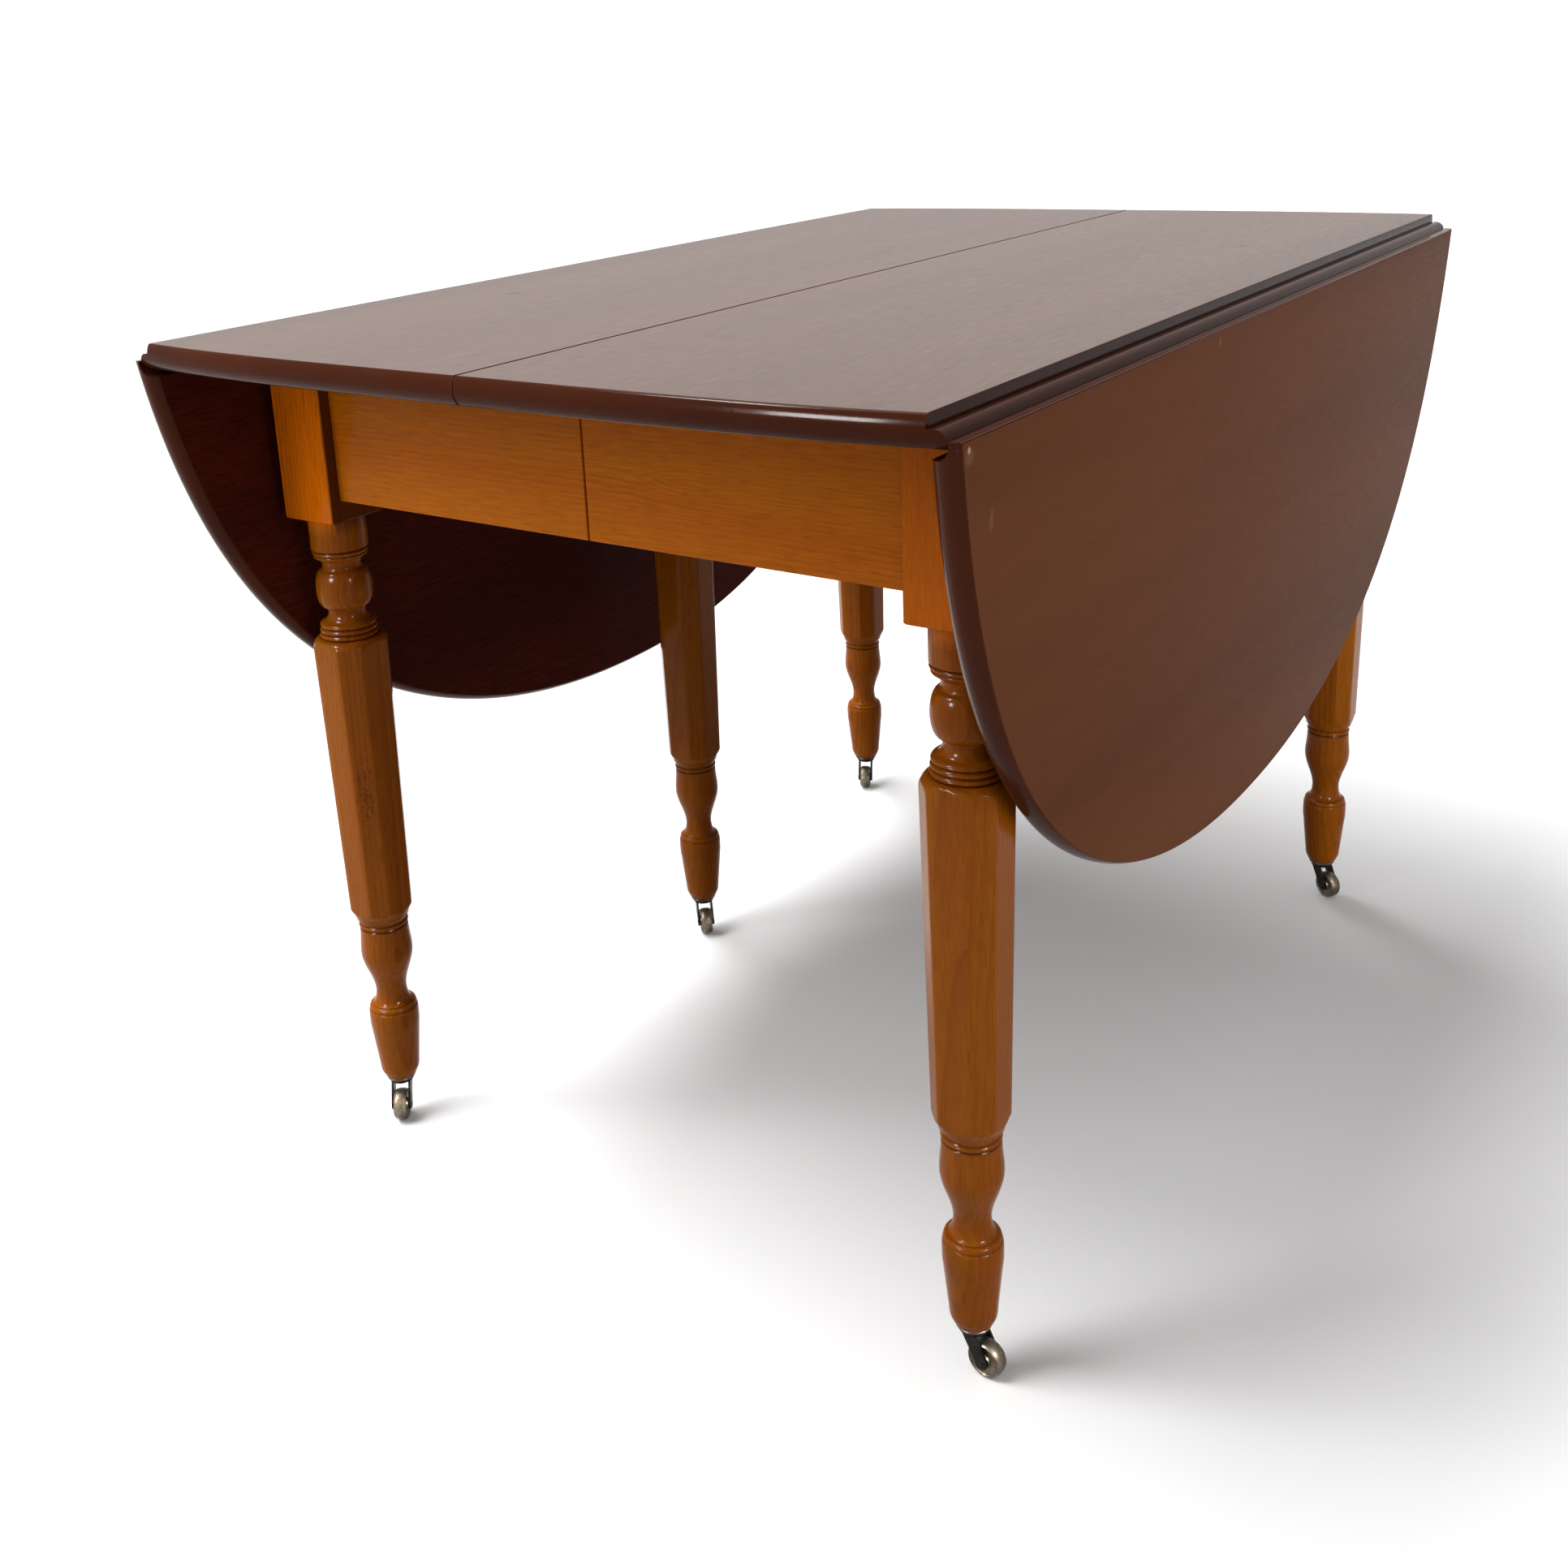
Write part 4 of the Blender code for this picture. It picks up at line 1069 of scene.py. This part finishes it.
def horn_mesh():
    """Horn about the leg's axis, trailing along +X: crown, cheeks and riveted axle."""
    bore = PIVOT_RADIUS + FIT
    dome = 0.0006
    top = SWIVEL_TOP - 0.0001
    crown = turned_mesh([
        (bore, top), (CROWN_RADIUS - dome, top), (CROWN_RADIUS, top - dome),
        (CROWN_RADIUS, CROWN_BOTTOM + dome), (CROWN_RADIUS - dome, CROWN_BOTTOM), (bore, CROWN_BOTTOM),
    ], CASTER_SIDES, wrap=True)
    reach = CHEEK_OUTER + 0.0005
    pin, tip = 0.0022, 0.0010
    axle = turned_mesh([
        (tip, -reach), (pin, -reach + dome), (pin, reach - dome), (tip, reach)], CASTER_SIDES // 2)
    axle.transform(Matrix.Translation((TRAIL, 0.0, WHEEL_RADIUS)) @ Matrix.Rotation(pi / 2, 4, "X"))
    return joined([crown, cheek_mesh(-1), cheek_mesh(1), axle])


def wheel_mesh():
    """Wheel about its own axle, which lies along Z: a crowned tread, a dished side and a hub."""
    bore = 0.0025
    dish = 0.0014
    edge = 0.0016
    side = [
        (bore, WHEEL_HALF), (HUB_RADIUS, WHEEL_HALF), (HUB_RADIUS + dish / 2, WHEEL_HALF - dish),
        (WHEEL_RADIUS - 2 * edge, WHEEL_HALF - dish), (WHEEL_RADIUS - 1.5 * edge, WHEEL_HALF - dish / 4),
        (WHEEL_RADIUS - edge, WHEEL_HALF - dish / 4), (WHEEL_RADIUS - edge / 3, WHEEL_HALF - edge),
        (WHEEL_RADIUS, WHEEL_HALF / 3),
    ]
    profile = side + [(radius, -height) for radius, height in reversed(side)]
    return turned_mesh(profile, CASTER_SIDES, wrap=True)


class TABLE_OT_casters(bpy.types.Operator):
    """Make a caster under each leg"""

    bl_idname = "table.casters"
    bl_label = "Casters"

    def execute(self, context):
        colours = context.scene.table_colours
        steel, iron, brass = dulled_steel(colours), blackened_iron(colours), worn_brass(colours)
        plate, horn, wheel = caster_plate_mesh(), horn_mesh(), wheel_mesh()
        for name, body in LEG_BODIES.items():
            pivot = Vector(JOINTS[f"{name}_swivel"]["pos_m"])
            hub = Vector(JOINTS[f"{name}_roll"]["pos_m"])
            swing = atan2(hub.y - pivot.y, hub.x - pivot.x)
            trail = Matrix.Rotation(swing, 4, "Z")
            socket = Matrix.Translation((pivot.x, pivot.y, 0.0))
            rolling = Matrix.Translation(hub) @ trail @ Matrix.Rotation(pi / 2, 4, "X")
            pieces = (
                ("foot_plate", plate, steel, body, "steel", "plate", socket),
                ("horn_iron", horn, iron, f"{name}_horn", "iron", "horn", socket @ trail),
                ("wheel_brass", wheel, brass, f"{name}_wheel", "brass", "wheel", rolling),
            )
            for kind, mesh, metal, rides, slot, node, place in pieces:
                add_piece(f"{name}_{kind}", mesh, [metal], rides, [f"{name}_caster_{node}"], place)
        return {"FINISHED"}


# Stage
IMAGE_SIZE = 1932
SENSOR_WIDTH = 36.0
FOCAL_PIXELS = 2042.1
PRINCIPAL_POINT = (915.2, 645.7)
CAMERA_PLACE = Vector((0.7705, -1.3045, 0.9221))
CAMERA_YAW = radians(-35.964)
CAMERA_PITCH = radians(-15.495)
CAMERA_ROLL = radians(-2.839)


def add_camera():
    """Camera at the photograph's place, with its lens and framing."""
    lens = bpy.data.cameras.new("view")
    lens.sensor_width = SENSOR_WIDTH
    lens.lens = FOCAL_PIXELS / IMAGE_SIZE * SENSOR_WIDTH
    lens.shift_x = 0.5 - PRINCIPAL_POINT[0] / IMAGE_SIZE
    lens.shift_y = PRINCIPAL_POINT[1] / IMAGE_SIZE - 0.5
    camera = add_object("view", lens)
    turn = Matrix.Rotation(-CAMERA_YAW, 4, "Z") @ Matrix.Rotation(pi / 2 + CAMERA_PITCH, 4, "X")
    camera.matrix_world = Matrix.Translation(CAMERA_PLACE) @ turn @ Matrix.Rotation(CAMERA_ROLL, 4, "Z")
    bpy.context.scene.camera = camera


def add_lamp(name, kind, power, place, aim, **settings):
    """Lamp of a kind at a place, facing a point."""
    light = bpy.data.lights.new(name, kind)
    light.energy = power
    for setting, value in settings.items():
        setattr(light, setting, value)
    lamp = add_object(name, light)
    lamp.location = place
    lamp.rotation_euler = (Vector(aim) - Vector(place)).to_track_quat("-Z", "Y").to_euler()
    return lamp


def seen_rays(tree):
    """One for a ray from the camera, a mirror or glass, and none for the rest."""
    path = add_node(tree, "LightPath")
    mirrored = add_node(tree, "Math", {
        "Value": path["Is Glossy Ray"], "Value_001": path["Is Transmission Ray"],
    }, operation="MAXIMUM")["Value"]
    return add_node(tree, "Math", {
        "Value": path["Is Camera Ray"], "Value_001": mirrored}, operation="MAXIMUM")["Value"]


def studio_floor(colours):
    """Painted studio floor: matt and nearly white, lifted to the backdrop's white where it is seen."""
    material, tree = new_material("studio_floor")
    lift = 0.05
    seen = seen_rays(tree)
    colour = lay_over(tree, colours.floor_bounce, colours.floor, seen)
    matt = add_node(tree, "BsdfDiffuse", {"Color": colour})["BSDF"]
    strength = add_node(tree, "Math", {
        "Value": seen, "Value_001": lift}, operation="MULTIPLY")["Value"]
    glow = add_node(tree, "Emission", {"Strength": strength})["Emission"]
    both = add_node(tree, "AddShader", {"Shader": matt, "Shader_001": glow})["Shader"]
    add_node(tree, "OutputMaterial", {"Surface": both})
    return material


def add_world(fill):
    """White backdrop where it is seen, and a plain fill light for everything else."""
    world = bpy.data.worlds.new("studio")
    bpy.context.scene.world = world
    world.use_nodes = True
    tree = world.node_tree
    tree.nodes.clear()
    strength = add_node(tree, "MapRange", {
        "Value": seen_rays(tree), "To Min": fill, "To Max": 1.0})["Result"]
    white = (1.0, 1.0, 1.0, 1.0)
    sky = add_node(tree, "Background", {"Color": white, "Strength": strength})["Background"]
    add_node(tree, "OutputWorld", {"Surface": sky})


class TABLE_OT_stage(bpy.types.Operator):
    """Make the floor, the light and the camera"""

    bl_idname = "table.stage"
    bl_label = "Stage"

    def execute(self, context):
        reach = 14.0
        corners = [(-reach, -reach), (reach, -reach), (reach, reach), (-reach, reach)]
        thickness = 0.02
        mesh = slab(corners, -thickness, 0.0)
        mesh.materials.append(studio_floor(context.scene.table_colours))
        add_object("floor", mesh)
        add_world(fill=0.40)
        ground, front, side = (0.0, 0.0, 0.0), (-0.2, -0.35, 0.6), (0.36, 0.0, 0.45)
        add_lamp("key", "SUN", 2.15, (-0.45, -0.25, 1.05), ground, angle=radians(30))
        add_lamp("second_key", "SUN", 1.25, (-0.60, 0.20, 1.05), ground, angle=radians(24))
        window = add_lamp("window", "AREA", 25.0, (-1.1, -1.4, 1.5), front, size=1.0)
        window.visible_glossy = False
        side_fill = add_lamp("side_fill", "AREA", 20.0, (2.2, -0.5, 0.6), side, size=1.2)
        side_fill.visible_glossy = False
        shaded = ("right_leaf_board", "left_leaf_board", "front_right_turned_leg", "back_right_turned_leg")
        side_fill.light_linking.receiver_collection = self.group("shaded_side", shaded)
        shiny = ("_turned_leg", "_half_edge", "_foot_plate", "_horn_iron", "_wheel_brass")
        glossy = self.group("legs_edges_and_casters", shiny)
        panes = ((-0.91, -1.67, 2.23), (-0.54, -2.48, 1.22), (2.0, -0.8, 1.2))
        shins = (0.0, -0.4, 0.4)
        for number, place in enumerate(panes):
            pane = add_lamp(f"pane_{number}", "AREA", 120.0, place, shins, size=0.45)
            pane.visible_diffuse = False
            pane.light_linking.receiver_collection = glossy
        add_camera()
        context.scene.view_settings.view_transform = "Standard"
        return {"FINISHED"}

    def group(self, name, endings):
        """Collection of the pieces whose names end so, for lamps that shine on these alone."""
        pieces = bpy.data.collections.new(name)
        for piece in bpy.context.scene.objects:
            if piece.name.endswith(endings):
                pieces.objects.link(piece)
        return pieces


class TABLE_PT_pieces(bpy.types.Panel):
    """The table's pieces, sizes and colours"""

    bl_idname = "TABLE_PT_pieces"
    bl_label = "Drop-leaf table"
    bl_space_type = "VIEW_3D"
    bl_region_type = "UI"
    bl_category = "Table"

    def draw(self, context):
        for maker in MAKERS:
            self.layout.operator(maker.bl_idname)
        for group in (context.scene.table_sizes, context.scene.table_colours):
            for name in group.__annotations__:
                self.layout.prop(group, name, text=name.replace("_", " ").capitalize())


MAKERS = (TABLE_OT_boards, TABLE_OT_legs, TABLE_OT_frame, TABLE_OT_hinges, TABLE_OT_casters, TABLE_OT_stage)
CLASSES = (TableSizes, TableColours, *MAKERS, TABLE_PT_pieces)


def register():
    """Add the classes and the scene's properties."""
    for kind in CLASSES:
        bpy.utils.register_class(kind)
    bpy.types.Scene.table_sizes = PointerProperty(type=TableSizes)
    bpy.types.Scene.table_colours = PointerProperty(type=TableColours)


def unregister():
    """Take the classes and the scene's properties away."""
    del bpy.types.Scene.table_colours
    del bpy.types.Scene.table_sizes
    for kind in reversed(CLASSES):
        bpy.utils.unregister_class(kind)


def main():
    """Make every piece and the stage."""
    register()
    bpy.ops.table.boards()
    bpy.ops.table.legs()
    bpy.ops.table.frame()
    bpy.ops.table.hinges()
    bpy.ops.table.casters()
    bpy.ops.table.stage()
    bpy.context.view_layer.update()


if __name__ == "__main__":
    main()
